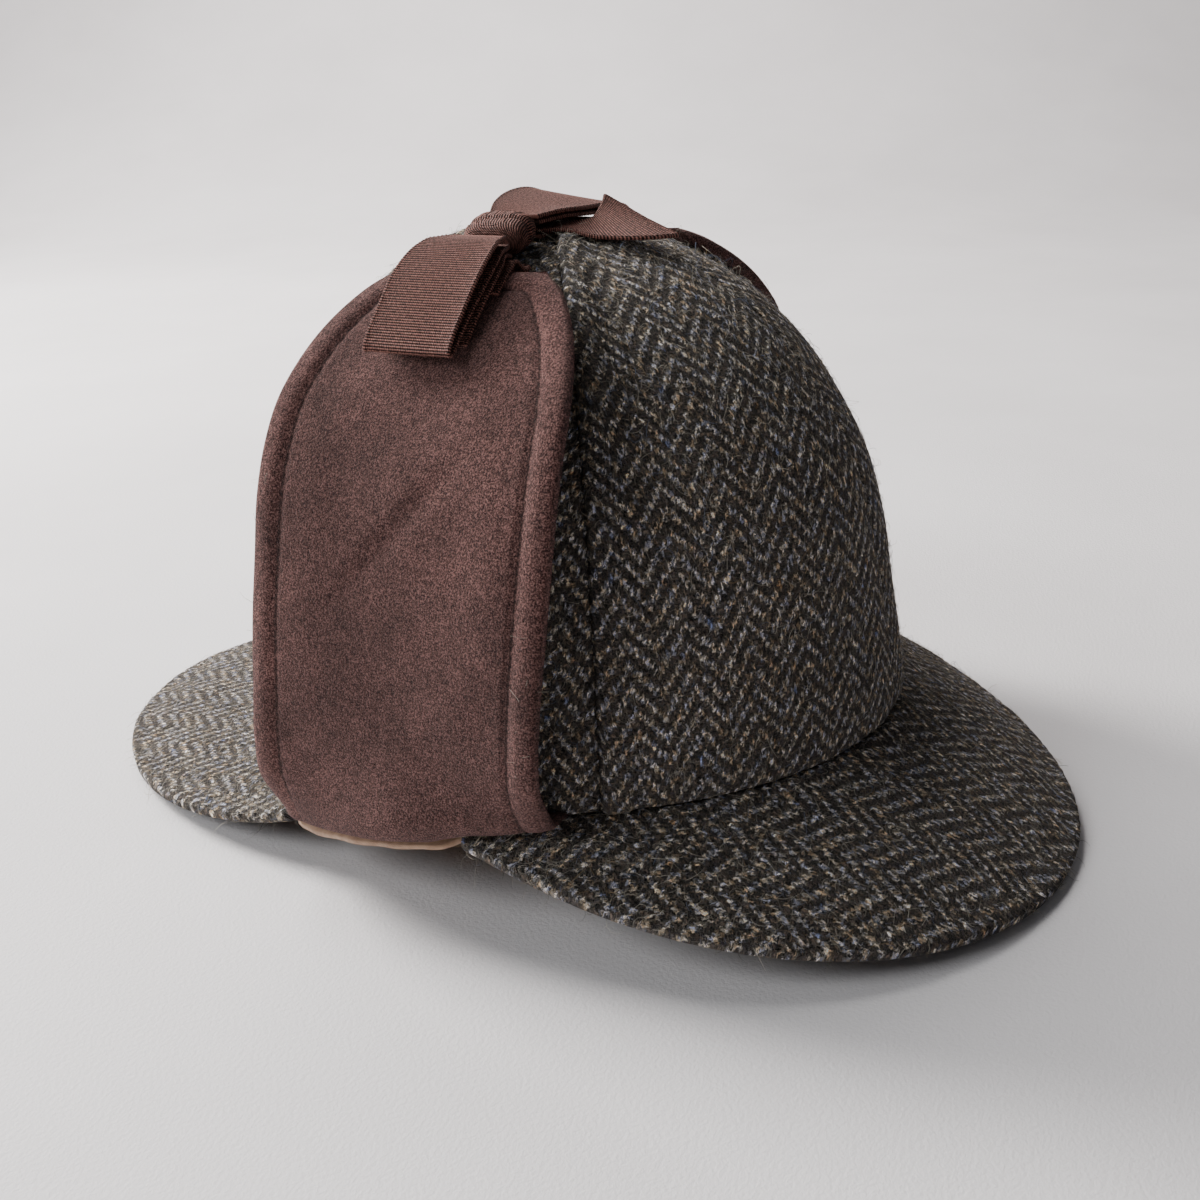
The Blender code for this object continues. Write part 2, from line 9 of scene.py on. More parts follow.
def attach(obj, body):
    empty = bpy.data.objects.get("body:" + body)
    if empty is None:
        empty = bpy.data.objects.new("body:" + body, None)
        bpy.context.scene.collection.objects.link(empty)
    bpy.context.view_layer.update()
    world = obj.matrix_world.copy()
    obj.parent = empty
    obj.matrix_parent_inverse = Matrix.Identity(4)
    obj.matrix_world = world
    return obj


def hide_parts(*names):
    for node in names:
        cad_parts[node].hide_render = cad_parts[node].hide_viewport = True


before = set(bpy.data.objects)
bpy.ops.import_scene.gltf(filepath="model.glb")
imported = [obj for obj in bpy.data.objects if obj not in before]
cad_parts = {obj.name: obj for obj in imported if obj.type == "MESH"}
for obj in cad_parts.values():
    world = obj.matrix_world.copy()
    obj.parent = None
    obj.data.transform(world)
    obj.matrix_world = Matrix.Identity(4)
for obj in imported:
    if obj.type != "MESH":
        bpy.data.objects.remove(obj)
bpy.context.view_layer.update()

SEED = 7

# Sizes of the part
CROWN_LENGTH = 0.200
CROWN_WIDTH = 0.180
CROWN_HEIGHT = 0.1325
OVAL_POWER = 1.86
DOME_POWER = 2.185
WAIST = 0.020
SEAM_RIDGE = 0.008
PANEL_COUNT = 6
TIP_RADIUS = 0.0015
RIM_FRONT_Z = 0.0350
RIM_REAR_Z = 0.0130
RIM_BREAK = 0.27
RIM_EASE = 0.25
PEAK_REACH = 0.0512
REAR_PEAK_REACH = 0.0560
PEAK_SPAN = math.radians(79)
REAR_PEAK_SPAN = math.radians(63)
PEAK_POWER = 1.10
PEAK_END = 0.0055
PEAK_END_DROP = 0.0050
PEAK_ARCH = 0.0035
EDGE_RISE = 0.0017
FLAP_WIDTH = 0.082
FLAP_STAND_OFF = 0.0052
FLAP_FLARE = 0.0032
FLAP_TIP = 0.925
FOLD_REACH = 0.0090
FOLD_SAG = 0.0030
RIBBON_WIDTH = 0.024
KNOT_X = -0.025
KNOT_LENGTH = 0.013
KNOT_DEPTH = 0.017
KNOT_HEIGHT = 0.0090
CLEAR = 0.0003
HAT_Y = (PEAK_REACH - REAR_PEAK_REACH) / 2

# Cloth
END = 0.00110               # pitch of the tweed's light yarns, which run along the cloth
PICK = 0.00138              # pitch of its dark yarns, which run across
COLUMN_ENDS = 7             # light yarns in a herringbone column
TWEED_WALL = 0.0020
TWEED_STEP = 0.0010         # spacing of the tweed's mesh
TWILL_RELIEF = 0.00016
SEAM_GROOVE = 0.0009        # depth of the valley where two panels are sewn
SEAM_HALF = 0.0013
SEAM_PAD = 0.0015           # how far the cloth stands up over a seam's allowance
RIM_ROLL = 0.0030           # the crown's turned lower edge
EDGE_THICKNESS = 0.0040     # a peak's edge
FACING_STEP = 0.0010
FLAP_THICKNESS = 0.0036
MARGIN = 0.0080             # from a flap's edge to its line of stitches
STITCH = 0.0022
PEAK_GRAIN = math.radians(19)       # the front peak's cloth is turned this far
RIB = 0.00070               # the ribbon's ribs
RIBBON_WALL = 0.0007
LINING_INSET = 0.0027       # from the crown's outer face to the lining's
LINING_WALL = 0.0010
FLOOR_GAP = 0.0002          # the least height of any cloth over the floor
FIBRE_RADIUS = 0.00005

# Rows of an ear flap, from its foot to its tip: rise as a share of FLAP_TIP's height, width of FLAP_WIDTH,
# stand of FLAP_STAND_OFF, flare of FLAP_FLARE, oval: how far the row follows the rim
FLAP_COLUMNS = ("rise", "width", "stand", "flare", "oval")
FLAP_ROWS = np.array([
    (0.060, 1.00, 1.60, 0.00, 0.60),
    (0.120, 1.00, 1.25, 0.55, 0.15),
    (0.190, 1.00, 1.05, 0.70, 0.00),
    (0.300, 1.00, 1.00, 0.50, 0.00),
    (0.420, 1.01, 1.00, 0.30, 0.00),
    (0.540, 1.01, 1.00, 0.35, 0.00),
    (0.640, 1.01, 1.05, 0.70, 0.00),
    (0.720, 1.00, 1.10, 0.80, 0.00),
    (0.790, 0.98, 1.10, 0.70, 0.00),
    (0.850, 0.93, 1.05, 0.45, 0.00),
    (0.905, 0.85, 1.00, 0.25, 0.00),
    (0.950, 0.74, 1.00, 0.10, 0.00),
    (0.980, 0.63, 1.00, 0.05, 0.00),
    (1.000, 0.50, 1.00, 0.00, 0.00),
])
# The fold at a flap's foot: reach as a share of FOLD_REACH, sag as a share of FOLD_SAG
FOLD_ROWS = [(0.10, 0.15), (0.45, 1.00), (0.82, 0.72), (1.00, -0.60)]
SAG_PLACES = [-1.0, -0.75, -0.50, -0.25, 0.0, 1.0]
SAG_SHARES = [-0.40, 0.00, 0.15, 0.95, 0.90, 0.90]

# Ribbon rows: along, lift and gap as shares of RIBBON_WIDTH, then width and shift, and tilt in degrees
RIGHT_LOOP = [
    (0.00, 0.150, 0.130, 0.60, 0.00, 0),
    (0.08, 0.205, 0.150, 0.70, 0.01, 0),
    (0.15, 0.250, 0.155, 0.78, 0.02, 0),
    (0.20, 0.285, 0.155, 0.83, 0.03, 0),
    (0.32, 0.320, 0.175, 0.92, 0.05, 0),
    (0.55, 0.320, 0.180, 1.00, 0.09, 0),
    (0.82, 0.280, 0.150, 1.00, 0.12, 0),
    (1.08, 0.235, 0.105, 1.00, 0.15, 0),
]
LEFT_LOOP = [
    (0.00, 0.05, 0.09, 0.60, 0.00, 0),
    (0.30, 0.05, 0.09, 0.85, 0.00, 4),
    (0.65, 0.05, 0.09, 1.00, 0.00, 8),
    (1.05, 0.06, 0.10, 1.00, 0.00, 10),
    (1.45, 0.06, 0.10, 1.00, 0.00, 7),
    (1.75, 0.04, 0.09, 1.00, 0.00, 4),
]
RIGHT_TAIL = [
    (0.00, -0.065, 0.60, 0.00, 0),
    (0.08, 0.000, 0.70, 0.00, 0),
    (0.15, 0.065, 0.80, 0.01, 0),
    (0.20, 0.110, 0.83, 0.01, 0),
    (0.32, 0.120, 0.92, 0.02, 0),
    (0.55, 0.115, 1.00, 0.05, 0),
    (0.80, 0.090, 1.00, 0.08, 0),
    (1.02, 0.060, 1.00, 0.11, 0),
]
# Edges of the tail that turns to the front: along from the knot's end, y, and lift over the crown
FRONT_TAIL = [
    ((0.00, -0.23, 0.120), (0.00, 0.25, 0.120)),
    ((0.14, -0.54, 0.112), (0.35, -0.15, 0.117)),
    ((0.18, -0.92, 0.105), (0.56, -0.58, 0.125)),
    ((0.37, -1.37, 0.190), (0.75, -0.63, 0.260)),
    ((0.70, -1.62, 0.250), (0.85, -0.63, 0.370)),
]
LEAD_ON_CROWN = [(0.00, 0.60), (0.15, 0.75), (0.30, 0.90), (0.45, 1.00), (0.75, 1.00), (1.00, 1.00)]
LEAD_ON_FLAP = [-0.06, 0.06, 0.18, 0.30]
LEAD_CLIMB = 0.005

# Lines of the lining's hem, each tucked in and then rolled out: how far it lies out from the crown's outer
# face, and how far it drops below the rim
HEM_ROWS = [
    ((-0.0036, 0.0015), (-0.0036, 0.0015)),
    ((-0.0033, 0.0040), (-0.0010, 0.0046)),
    ((-0.0026, 0.0046), (0.0022, 0.0066)),
    ((-0.0019, 0.0040), (0.0046, 0.0064)),
    ((-0.0026, 0.0012), (0.0048, 0.0050)),
    ((-0.0027, 0.0006), (0.0020, 0.0036)),
]

# Camera
CAMERA_PLACE = (-0.3161, -0.1699, 0.2031)
CAMERA_RIGHT = (0.43071, -0.90188, -0.03322)
CAMERA_UP = (0.36393, 0.13988, 0.92087)
CAMERA_AHEAD = (0.82586, 0.40871, -0.38847)
CAMERA_LENS = 38.82


def signed_power(value, exponent):
    return np.sign(value) * np.abs(value) ** exponent


def bump(value, half):
    """1 at zero, falling smoothly to 0 at `half` either side."""
    return np.cos(np.clip(np.abs(value) / half, 0, 1) * math.pi) / 2 + 0.5


def ease(value, start, end):
    """0 before `start`, 1 after `end`, smooth between."""
    share = np.clip((value - start) / (end - start), 0, 1)
    return share * share * (3 - 2 * share)


def rim_z(theta):
    step = 1 / (1 + np.exp(-(np.cos(theta) + RIM_BREAK) / RIM_EASE))
    return RIM_REAR_Z + (RIM_FRONT_Z - RIM_REAR_Z) * step


SIDE_RIM_Z = float(rim_z(math.pi / 2))


def oval_shares(theta):
    return (-signed_power(np.sin(theta), 2 / OVAL_POWER),
            -signed_power(np.cos(theta), 2 / OVAL_POWER))


def oval_point(theta, out, z):
    """Points of the head oval, moved `out` along its normal, at height z."""
    half_x, half_y = CROWN_WIDTH / 2, CROWN_LENGTH / 2
    share_x, share_y = oval_shares(theta)
    normal_x, normal_y = share_x / half_x, share_y / half_y
    length = np.hypot(normal_x, normal_y)
    x = half_x * share_x + normal_x / length * out
    y = half_y * share_y + normal_y / length * out
    return np.stack(np.broadcast_arrays(x, y, z), -1)


def crown_point(theta, tau, inset):
    """Points of the crown's face at the angle tau above the rim, `inset` inside the outer face."""
    height = np.sin(tau) ** (2 / DOME_POWER)
    width = np.clip(np.cos(tau), 0, 1) ** (2 / DOME_POWER)
    width = width * (1 - WAIST * np.sin(math.pi * np.minimum(height / 0.6, 1)) ** 2)
    width = width * (1 + SEAM_RIDGE * (np.cos(PANEL_COUNT / 2 * theta) ** 2 - 1) * np.sin(2 * tau))
    share_x, share_y = oval_shares(theta)
    x = (CROWN_WIDTH / 2 - inset) * share_x * width
    y = (CROWN_LENGTH / 2 - inset) * share_y * width
    z = rim_z(theta) * (1 - height) + (SIDE_RIM_Z + CROWN_HEIGHT - inset) * height
    return np.stack(np.broadcast_arrays(x, y, z), -1)


def side_profile(height):
    """Half width and outward direction (x, z) of the crown seen from the front."""
    width = (1 - height ** DOME_POWER) ** (1 / DOME_POWER)
    x = width ** (DOME_POWER - 1) / (CROWN_WIDTH / 2)
    z = height ** (DOME_POWER - 1) / CROWN_HEIGHT
    length = np.hypot(x, z)
    return width * CROWN_WIDTH / 2, x / length, z / length


def normals_of(points, wrap=False):
    """Unit normals of a grid of points."""
    if wrap:
        across = np.roll(points, -1, 1) - np.roll(points, 1, 1)
    else:
        across = np.gradient(points, axis=1)
    normal = np.cross(np.gradient(points, axis=0), across)
    return normal / np.maximum(np.linalg.norm(normal, axis=-1, keepdims=True), 1e-12)


def outward(points, normals, centre):
    """The normals, turned so that they look away from `centre`."""
    return normals * np.sign(((points - centre) * normals).sum())


def lengths_along(points, axis):
    """Distance travelled along one axis of a grid of points."""
    steps = np.linalg.norm(np.diff(points, axis=axis), axis=-1)
    start = np.zeros_like(np.take(steps, [0], axis))
    return np.concatenate([start, np.cumsum(steps, axis)], axis)


def resample(rows, spacing, across=False):
    """A smooth grid through rows of points, its lines about `spacing` apart."""
    if across:
        return resample(rows.transpose(1, 0, 2), spacing).transpose(1, 0, 2)
    place = lengths_along(rows, 0).mean(1)
    count = max(int(math.ceil(place[-1] / spacing / 4)) * 4, 4)
    at = np.linspace(0, place[-1], count + 1)
    slope = np.gradient(rows, place, axis=0)
    index = np.clip(np.searchsorted(place, at, side="right") - 1, 0, len(place) - 2)
    width = (place[index + 1] - place[index])[:, None, None]
    t = ((at - place[index])[:, None, None]) / width
    first, last = rows[index], rows[index + 1]
    return (first * (2 * t ** 3 - 3 * t ** 2 + 1) + slope[index] * width * (t ** 3 - 2 * t ** 2 + t)
            + last * (3 * t ** 2 - 2 * t ** 3) + slope[index + 1] * width * (t ** 3 - t ** 2))


def value_noise(points, cell, seed):
    """Smooth noise from -1 to 1 in space, with features about `cell` in size."""
    place = points / cell
    low = np.floor(place).astype(np.int64)
    t = place - low
    t = t * t * (3 - 2 * t)
    total = 0
    for corner in range(8):
        offset = np.array([corner & 1, corner >> 1 & 1, corner >> 2 & 1])
        at = low + offset
        mixed = at[..., 0] * 73856093 ^ at[..., 1] * 19349663 ^ at[..., 2] * 83492791 ^ seed * 2654435761
        mixed = (mixed ^ mixed >> 13) * 1274126177 & 0xFFFFFFFF
        mixed = (mixed ^ mixed >> 16) & 0xFFFF
        weight = np.prod(np.where(offset, t, 1 - t), axis=-1)
        total = total + weight * (mixed / 0x7FFF - 1)
    return total


def zip_lines(fine, coarse):
    """Triangles between two lines of vertex numbers that run side by side."""
    faces, i, k = [], 0, 0
    while i < len(fine) - 1 or k < len(coarse) - 1:
        if k == len(coarse) - 1 or (i + 1) / (len(fine) - 1) <= (k + 1) / (len(coarse) - 1):
            if i < len(fine) - 1:
                faces.append((fine[i], fine[i + 1], coarse[k]))
                i += 1
                continue
        faces.append((fine[i], coarse[k + 1], coarse[k]))
        k += 1
    return faces


def grid_quads(rows, cols, start=0, wrap=False):
    row = np.arange(rows - 1)[:, None] * cols
    col = np.arange(cols if wrap else cols - 1)[None, :]
    after = (col + 1) % cols
    quads = np.stack([row + col, row + after, row + cols + after, row + cols + col], -1)
    return (quads.reshape(-1, 4) + start).tolist()


def border(rows, cols, start=0):
    """The four edges of a grid, each as a line of vertex numbers."""
    number = np.arange(rows * cols).reshape(rows, cols) + start
    return [number[0, :].tolist(), number[:, -1].tolist(), number[-1, :].tolist(), number[:, 0].tolist()]


def add_piece(name, points, cloth, faces, material, slot, nodes=(), edge=None):
    """A mesh piece with cloth coordinates in metres, which rides on the hat and stands for CAD nodes.

    A second pair, if given, holds the distance from the piece's edge and the place along it.
    """
    mesh = bpy.data.meshes.new(name)
    mesh.from_pydata((points + (0, HAT_Y, 0)).tolist(), [], faces)
    shape = bmesh.new()
    shape.from_mesh(mesh)
    bmesh.ops.recalc_face_normals(shape, faces=shape.faces)
    shape.to_mesh(mesh)
    shape.free()
    corners = np.zeros(len(mesh.loops), np.int32)
    mesh.loops.foreach_get("vertex_index", corners)
    for label, values in (("cloth", cloth), ("edge", edge)):
        if values is not None:
            layer = mesh.uv_layers.new(name=label)
            layer.uv.foreach_set("vector", values[corners].astype(np.float32).ravel())
    mesh.materials.append(material)
    mesh.shade_smooth()
    piece = bpy.data.objects.new(name, mesh)
    bpy.context.scene.collection.objects.link(piece)
    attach(piece, "root")
    if nodes:
        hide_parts(*nodes)
    return piece


def closed_sheet(name, outer, cloth, wall, centre, **look):
    """A fine outer face, a coarse inner one `wall` behind it, and the edges between them."""
    rows, cols = outer.shape[:2]
    normals = outward(outer, normals_of(outer), centre)
    inner = (outer - normals * wall)[::4, ::4]
    inner_rows, inner_cols = inner.shape[:2]
    start = rows * cols
    faces = grid_quads(rows, cols) + grid_quads(inner_rows, inner_cols, start)
    for fine, coarse in zip(border(rows, cols), border(inner_rows, inner_cols, start)):
        faces += zip_lines(fine, coarse)
    points = np.concatenate([outer.reshape(-1, 3), inner.reshape(-1, 3)])
    cloth = np.concatenate([cloth.reshape(-1, 2), cloth[::4, ::4].reshape(-1, 2)])
    return add_piece(name, points, cloth, faces, **look)


def closed_loops(name, points, cloth, **look):
    """A closed body through rows that are each a closed loop, with a fan at either end.

    Its cloth coordinates may be two or four to a point; the last two are then its edge coordinates.
    """
    rows, cols = points.shape[:2]
    faces = grid_quads(rows, cols, wrap=True)
    flat, flat_cloth = points.reshape(-1, 3), cloth.reshape(-1, cloth.shape[-1])
    for row in (0, rows - 1):
        hub = len(flat)
        flat = np.concatenate([flat, points[row].mean(0)[None]])
        flat_cloth = np.concatenate([flat_cloth, cloth[row].mean(0)[None]])
        faces += [(row * cols + c, row * cols + (c + 1) % cols, hub) for c in range(cols)]
    if flat_cloth.shape[-1] == 4:
        look["edge"] = flat_cloth[:, 2:]
    return add_piece(name, flat, flat_cloth[:, :2], faces, **look)


def twill(cloth):
    """Height of the herringbone's diagonal lines, from -1 to 1."""
    u, v = cloth[..., 0] / END, cloth[..., 1] / PICK
    lean = 1 - 2 * (np.floor(u / COLUMN_ENDS) % 2)
    return np.cos(2 * math.pi * (v - lean * u - 1 + lean / 2) / 4)


def crown_panel(name, number, material):
    """A tapered panel, with its edges sewn down and its lower edge turned in."""
    pitch = 2 * math.pi / PANEL_COUNT
    last = math.acos((TIP_RADIUS / (CROWN_WIDTH / 2)) ** (DOME_POWER / 2))
    rim = np.linspace(0, 1, 33)
    theta = pitch * (number + rim)
    coarse = crown_point(theta[None, :], np.linspace(0, last, 60)[:, None], 0)
    outer = resample(resample(coarse, TWEED_STEP), TWEED_STEP, across=True)
    across = lengths_along(outer, 1)
    half = across[:, -1:] / 2
    up = lengths_along(outer, 0)
    cloth = np.stack([across - half, np.broadcast_to(up.mean(1, keepdims=True), across.shape)], -1)
    to_seam = half - np.abs(across - half)
    near = across < half
    # the allowance of each seam is pressed towards the front, under the edge of the panel in front
    padded = near if number >= PANEL_COUNT / 2 else ~near
    pad = ease(to_seam, 0, 0.0012) * (1 - ease(to_seam, 0.004, 0.009))
    rise = np.where(padded, SEAM_PAD, -SEAM_PAD / 4) * pad
    groove = (rise - SEAM_GROOVE * bump(to_seam, SEAM_HALF)) * ease(half, 0.001, 0.010)
    rolled = np.clip(up / RIM_ROLL, 0, 1)
    turned = -RIM_ROLL / 2 * (1 - np.sqrt(rolled * (2 - rolled)))
    sway = 0.0006 * value_noise(outer, 0.030, 11) + 0.0002 * value_noise(outer, 0.009, 12)
    relief = TWILL_RELIEF * twill(cloth) + groove + turned + sway * ease(to_seam, 0, 0.006)
    normals = outward(outer, normals_of(outer), Vector((0, 0, SIDE_RIM_Z)))
    outer = outer + normals * relief[..., None]
    piece = closed_sheet("tweed_" + name, outer, cloth, TWEED_WALL, Vector((0, 0, SIDE_RIM_Z)),
                         material=material, slot="tweed", nodes=["crown_panel_" + name])
    return outer, normals


def make_lining(material):
    """The inner dome, whose edge rolls out below the fold of each ear flap."""
    theta = np.linspace(0, 2 * math.pi, 241)[:-1]
    tau = np.linspace(0, math.pi / 2 - 0.02, 16)
    dome = crown_point(theta[None, :], tau[:, None], LINING_INSET)
    # the hem shows below each ear flap only
    turn = np.degrees(np.arccos(np.clip(np.cos(theta), -1, 1)))
    shown = ease(turn, 74, 84) * (1 - ease(turn, 112, 122))
    hem = []
    for tucked, rolled in HEM_ROWS:
        out = tucked[0] + (rolled[0] - tucked[0]) * shown
        drop = tucked[1] + (rolled[1] - tucked[1]) * shown
        wave = 0.0003 * np.sin(theta * 41) * shown
        hem.append(oval_point(theta, out + wave, rim_z(theta) - drop))
    inner = crown_point(theta[None, :], tau[::-1, None], LINING_INSET + LINING_WALL)
    rows = np.concatenate([inner, np.stack(hem), dome])
    cloth = np.stack([lengths_along(rows, 1), lengths_along(rows, 0)], -1)
    piece = closed_loops("lining_cloth", rows, cloth, material=material, slot="lining", nodes=["lining"])
    around, up = lengths_along(dome, 1)[:, -1], lengths_along(dome, 0).mean(1)


def peak(name, node, middle, span, reach, grain, material):
    """A stiffened peak with a rolled edge, its tip pressed on the floor."""
    turn = span * np.linspace(-1, 1, 161)[None, :]
    theta = middle + turn
    share = np.clip(np.cos(turn / span * math.pi / 2), 0, 1) ** PEAK_POWER
    width = PEAK_END + (reach - PEAK_END) * share
    seat = rim_z(theta) - CLEAR
    drop = (seat - EDGE_RISE) * share + PEAK_END_DROP * (1 - share)
    line = np.linspace(0, 1, 41)[:, None]
    arch = PEAK_ARCH * share * 4 * line * (1 - line)
    out = 0.0004 + (width - 0.0004) * line
    top = oval_point(np.broadcast_to(theta, out.shape), out, seat - drop * line + arch * line)
    seat_row = oval_point(theta, np.full_like(theta, -0.0020), seat)
    top = resample(np.concatenate([seat_row, top]), TWEED_STEP)
    top = resample(top, TWEED_STEP * 1.2, across=True)
    normals = outward(top, normals_of(top), Vector((0, 0, -1)))
    cloth = np.stack([top[..., 0] * math.cos(grain) + top[..., 1] * math.sin(grain),
                      top[..., 1] * math.cos(grain) - top[..., 0] * math.sin(grain)], -1)
    from_edge = lengths_along(top[::-1], 0)[::-1]
    radius = EDGE_THICKNESS / 2
    roundness = np.sqrt(np.clip(1 - (1 - np.clip(from_edge / radius, 0, 1)) ** 2, 0, 1))
    sway = 0.0005 * value_noise(top, 0.035, 21) + 0.0002 * value_noise(top, 0.010, 22)
    edge_puff = 0.0010 * bump(from_edge - radius, 0.006)
    relief = TWILL_RELIEF * twill(cloth) + edge_puff + sway
    middle_face = top - normals * radius
    upper = middle_face + normals * (radius * roundness + relief * roundness)[..., None]
    lower = middle_face - normals * (radius * roundness)[..., None]
    lower = lower[::-2]
    lower_cloth = cloth[::-2]
    loops = np.concatenate([upper, lower[1:]]).transpose(1, 0, 2)
    loops_cloth = np.concatenate([cloth, lower_cloth[1:]]).transpose(1, 0, 2)
    loops[..., 2] = np.maximum(loops[..., 2], FLOOR_GAP)
    closed_loops(name, loops, loops_cloth, material=material, slot="tweed", nodes=[node])
    return upper, normals


def flap_value(rise, column):
    return np.interp(rise, FLAP_ROWS[:, 0], FLAP_ROWS[:, FLAP_COLUMNS.index(column)])


def oval_hollow(y):
    share = np.clip(np.abs(y) / (CROWN_LENGTH / 2), 0, 1)
    half = (1 - share ** OVAL_POWER) ** (1 / OVAL_POWER)
    theta = np.arccos(np.clip(signed_power(-y / (CROWN_LENGTH / 2), OVAL_POWER / 2), -1, 1))
    return 1 - half, theta


def flap_row(rise, across):
    """Outer face of the right ear flap at one height, across from -1 at its front edge to 1."""
    half = FLAP_WIDTH / 2 * flap_value(rise, "width")
    y = across * half
    height = rise * FLAP_TIP
    x, normal_x, normal_z = side_profile(height)
    hollow, theta = oval_hollow(y)
    lift = (rim_z(theta) - SIDE_RIM_Z) * (1 - height)
    stand = FLAP_STAND_OFF * flap_value(rise, "stand") + FLAP_FLARE * flap_value(rise, "flare") * across ** 2
    return np.stack([-(x * (1 - hollow * flap_value(rise, "oval")) + normal_x * stand), y,
                     SIDE_RIM_Z + CROWN_HEIGHT * height + lift + normal_z * stand], -1)


def fold_row(reach, sag, across):
    y = across * FLAP_WIDTH / 2
    theta = oval_hollow(y)[1]
    drop = FOLD_SAG * sag * (np.interp(across, SAG_PLACES, SAG_SHARES) if sag > 0 else 1)
    point = oval_point(theta, FOLD_REACH * reach, rim_z(theta) - drop)
    point[..., 1] = y
    return point


def distance_to_line(points, line):
    """Shortest distance from points of a plane to a polyline."""
    best = np.full(points.shape[:-1], 1e9)
    for first, last in zip(line, line[1:]):
        step = last - first
        t = np.clip(((points - first) @ step) / max(step @ step, 1e-12), 0, 1)
        best = np.minimum(best, np.linalg.norm(points - first - t[..., None] * step, axis=-1))
    return best


def ear_flap(side, facing, backing):
    """A folded-up ear flap: the brushed facing with its sewn margin, and the tweed backing behind it."""
    across = np.linspace(-1, 1, 41)
    rows = [fold_row(reach, sag, across) for reach, sag in FOLD_ROWS]
    rows += [flap_row(rise, across) for rise in FLAP_ROWS[:, 0]]
    face = resample(resample(np.stack(rows), FACING_STEP), FACING_STEP, across=True)
    if side == "left":
        face[..., 0] *= -1
    centre = Vector((0, 0, 2 * SIDE_RIM_Z))
    normals = outward(face, normals_of(face), centre)
    across = lengths_along(face, 1)
    along = np.broadcast_to(lengths_along(face, 0).mean(1)[:, None], across.shape)
    cloth = np.stack([across - across[:, -1:] / 2, along], -1)
    foot = 0.010
    rim = np.concatenate([cloth[:, 0], cloth[-1, ::4], cloth[::-1, -1]])[::3]
    to_edge = distance_to_line(cloth, rim)
    up = cloth[..., 1]
    stitched = ease(up, foot * 0.5, foot)
    puff = 0.0005 * bump(to_edge - MARGIN * 0.55, MARGIN * 0.45)
    groove = -0.0006 * bump(to_edge - MARGIN, 0.0014)
    holes = -0.0002 * bump(to_edge - MARGIN, 0.0010) * np.cos(2 * math.pi * up / STITCH / 2)
    sway = 0.0010 * value_noise(face, 0.040, 31) + 0.0005 * value_noise(face, 0.016, 32)
    sway = sway * ease(to_edge, 0.004, 0.02)
    dents = -0.0006 * bump(cloth[..., 0] + 0.9 * (up - 0.085), 0.007) * bump(up - 0.085, 0.028)
    relief = (puff + groove + holes) * stitched + sway + dents * ease(to_edge, 0.010, 0.02)
    thickness = 0.0018 + (FLAP_THICKNESS - 0.0018) * ease(up, 0.006, 0.018)
    radius = thickness / 2
    roundness = np.sqrt(np.clip(1 - (1 - np.clip(to_edge / radius, 0, 1)) ** 2, 0, 1))
    middle = face - normals * radius[..., None]
    outer = middle + normals * (radius * roundness + relief * roundness)[..., None]
    hidden = 0.0008 * ease(to_edge, 0.002, 0.004) * ease(up, 0.012, 0.02)
    inner = (middle - normals * ((radius - hidden) * roundness)[..., None])[:, ::-2]
    loops = np.concatenate([outer, inner[:, 1:-1]], axis=1)
    shown = np.where(up > foot * 0.6, to_edge, 1)
    full = np.concatenate([cloth, np.stack([shown, up], -1)], -1)
    loops_cloth = np.concatenate([full, full[:, ::-2][:, 1:-1]], axis=1)
    piece = closed_loops("moleskin_flap_" + side, loops, loops_cloth, material=facing, slot="moleskin",
                         nodes=["flap_facing_" + side])
    first = int(np.searchsorted(up[:, 0], 0.022))
    last = int(np.searchsorted(up[:, 0], up[-1, 0] - 0.004))
    last = first + (last - first) // 4 * 4
    count = face.shape[1]
    margin = 4
    cut = slice(margin, count - margin)
    back = face - normals * (FLAP_THICKNESS - 0.0003)
    back_outer = back[first:last + 1, cut]
    back_cloth = cloth[first:last + 1, cut]
    stand = 0.0006 + TWILL_RELIEF * twill(back_cloth)[..., None]
    back_outer = back_outer - normals[first:last + 1, cut] * stand
    piece = closed_sheet("tweed_flap_" + side, back_outer, back_cloth, -0.0006, centre, material=backing,
                         slot="tweed", nodes=["flap_backing_" + side])
    # strips along the backing's two long edges, which face forwards and backwards
    sideways = np.gradient(back_outer, axis=1)
    sideways /= np.linalg.norm(sideways, axis=-1, keepdims=True)
    return [(back_outer[:, :2], -sideways[:, :2]), (back_outer[:, -2:], sideways[:, -2:])]


def flap_level(height, y):
    """How far the top of what lies under the bow stands off the crown's side profile."""
    rise = np.minimum(height / FLAP_TIP, 1)
    half = FLAP_WIDTH / 2 * flap_value(rise, "width")
    flare = FLAP_FLARE * flap_value(rise, "flare") * (y / half) ** 2
    return FLAP_STAND_OFF * flap_value(rise, "stand") + flare * (height <= FLAP_TIP)


def top_point(x, y, lift):
    """Point over the hat's top, `lift` above the level of the ear flaps' outer faces."""
    height = (1 - (abs(x) / (CROWN_WIDTH / 2)) ** DOME_POWER) ** (1 / DOME_POWER)
    normal_x, normal_z = side_profile(height)[1:]
    out = flap_level(height, y) + lift
    return np.array([math.copysign(abs(x) + normal_x * out, x), y,
                     SIDE_RIM_Z + CROWN_HEIGHT * height + normal_z * out])


def crown_top(x, y, lift):
    share = (abs(x) / (CROWN_WIDTH / 2)) ** OVAL_POWER + (abs(y) / (CROWN_LENGTH / 2)) ** OVAL_POWER
    height = (1 - share ** (DOME_POWER / OVAL_POWER)) ** (1 / DOME_POWER)
    return np.array([x, y, SIDE_RIM_Z + CROWN_HEIGHT * height + lift])


def exit_x(side):
    return KNOT_X + side * (KNOT_LENGTH / 2 + 2 * CLEAR)


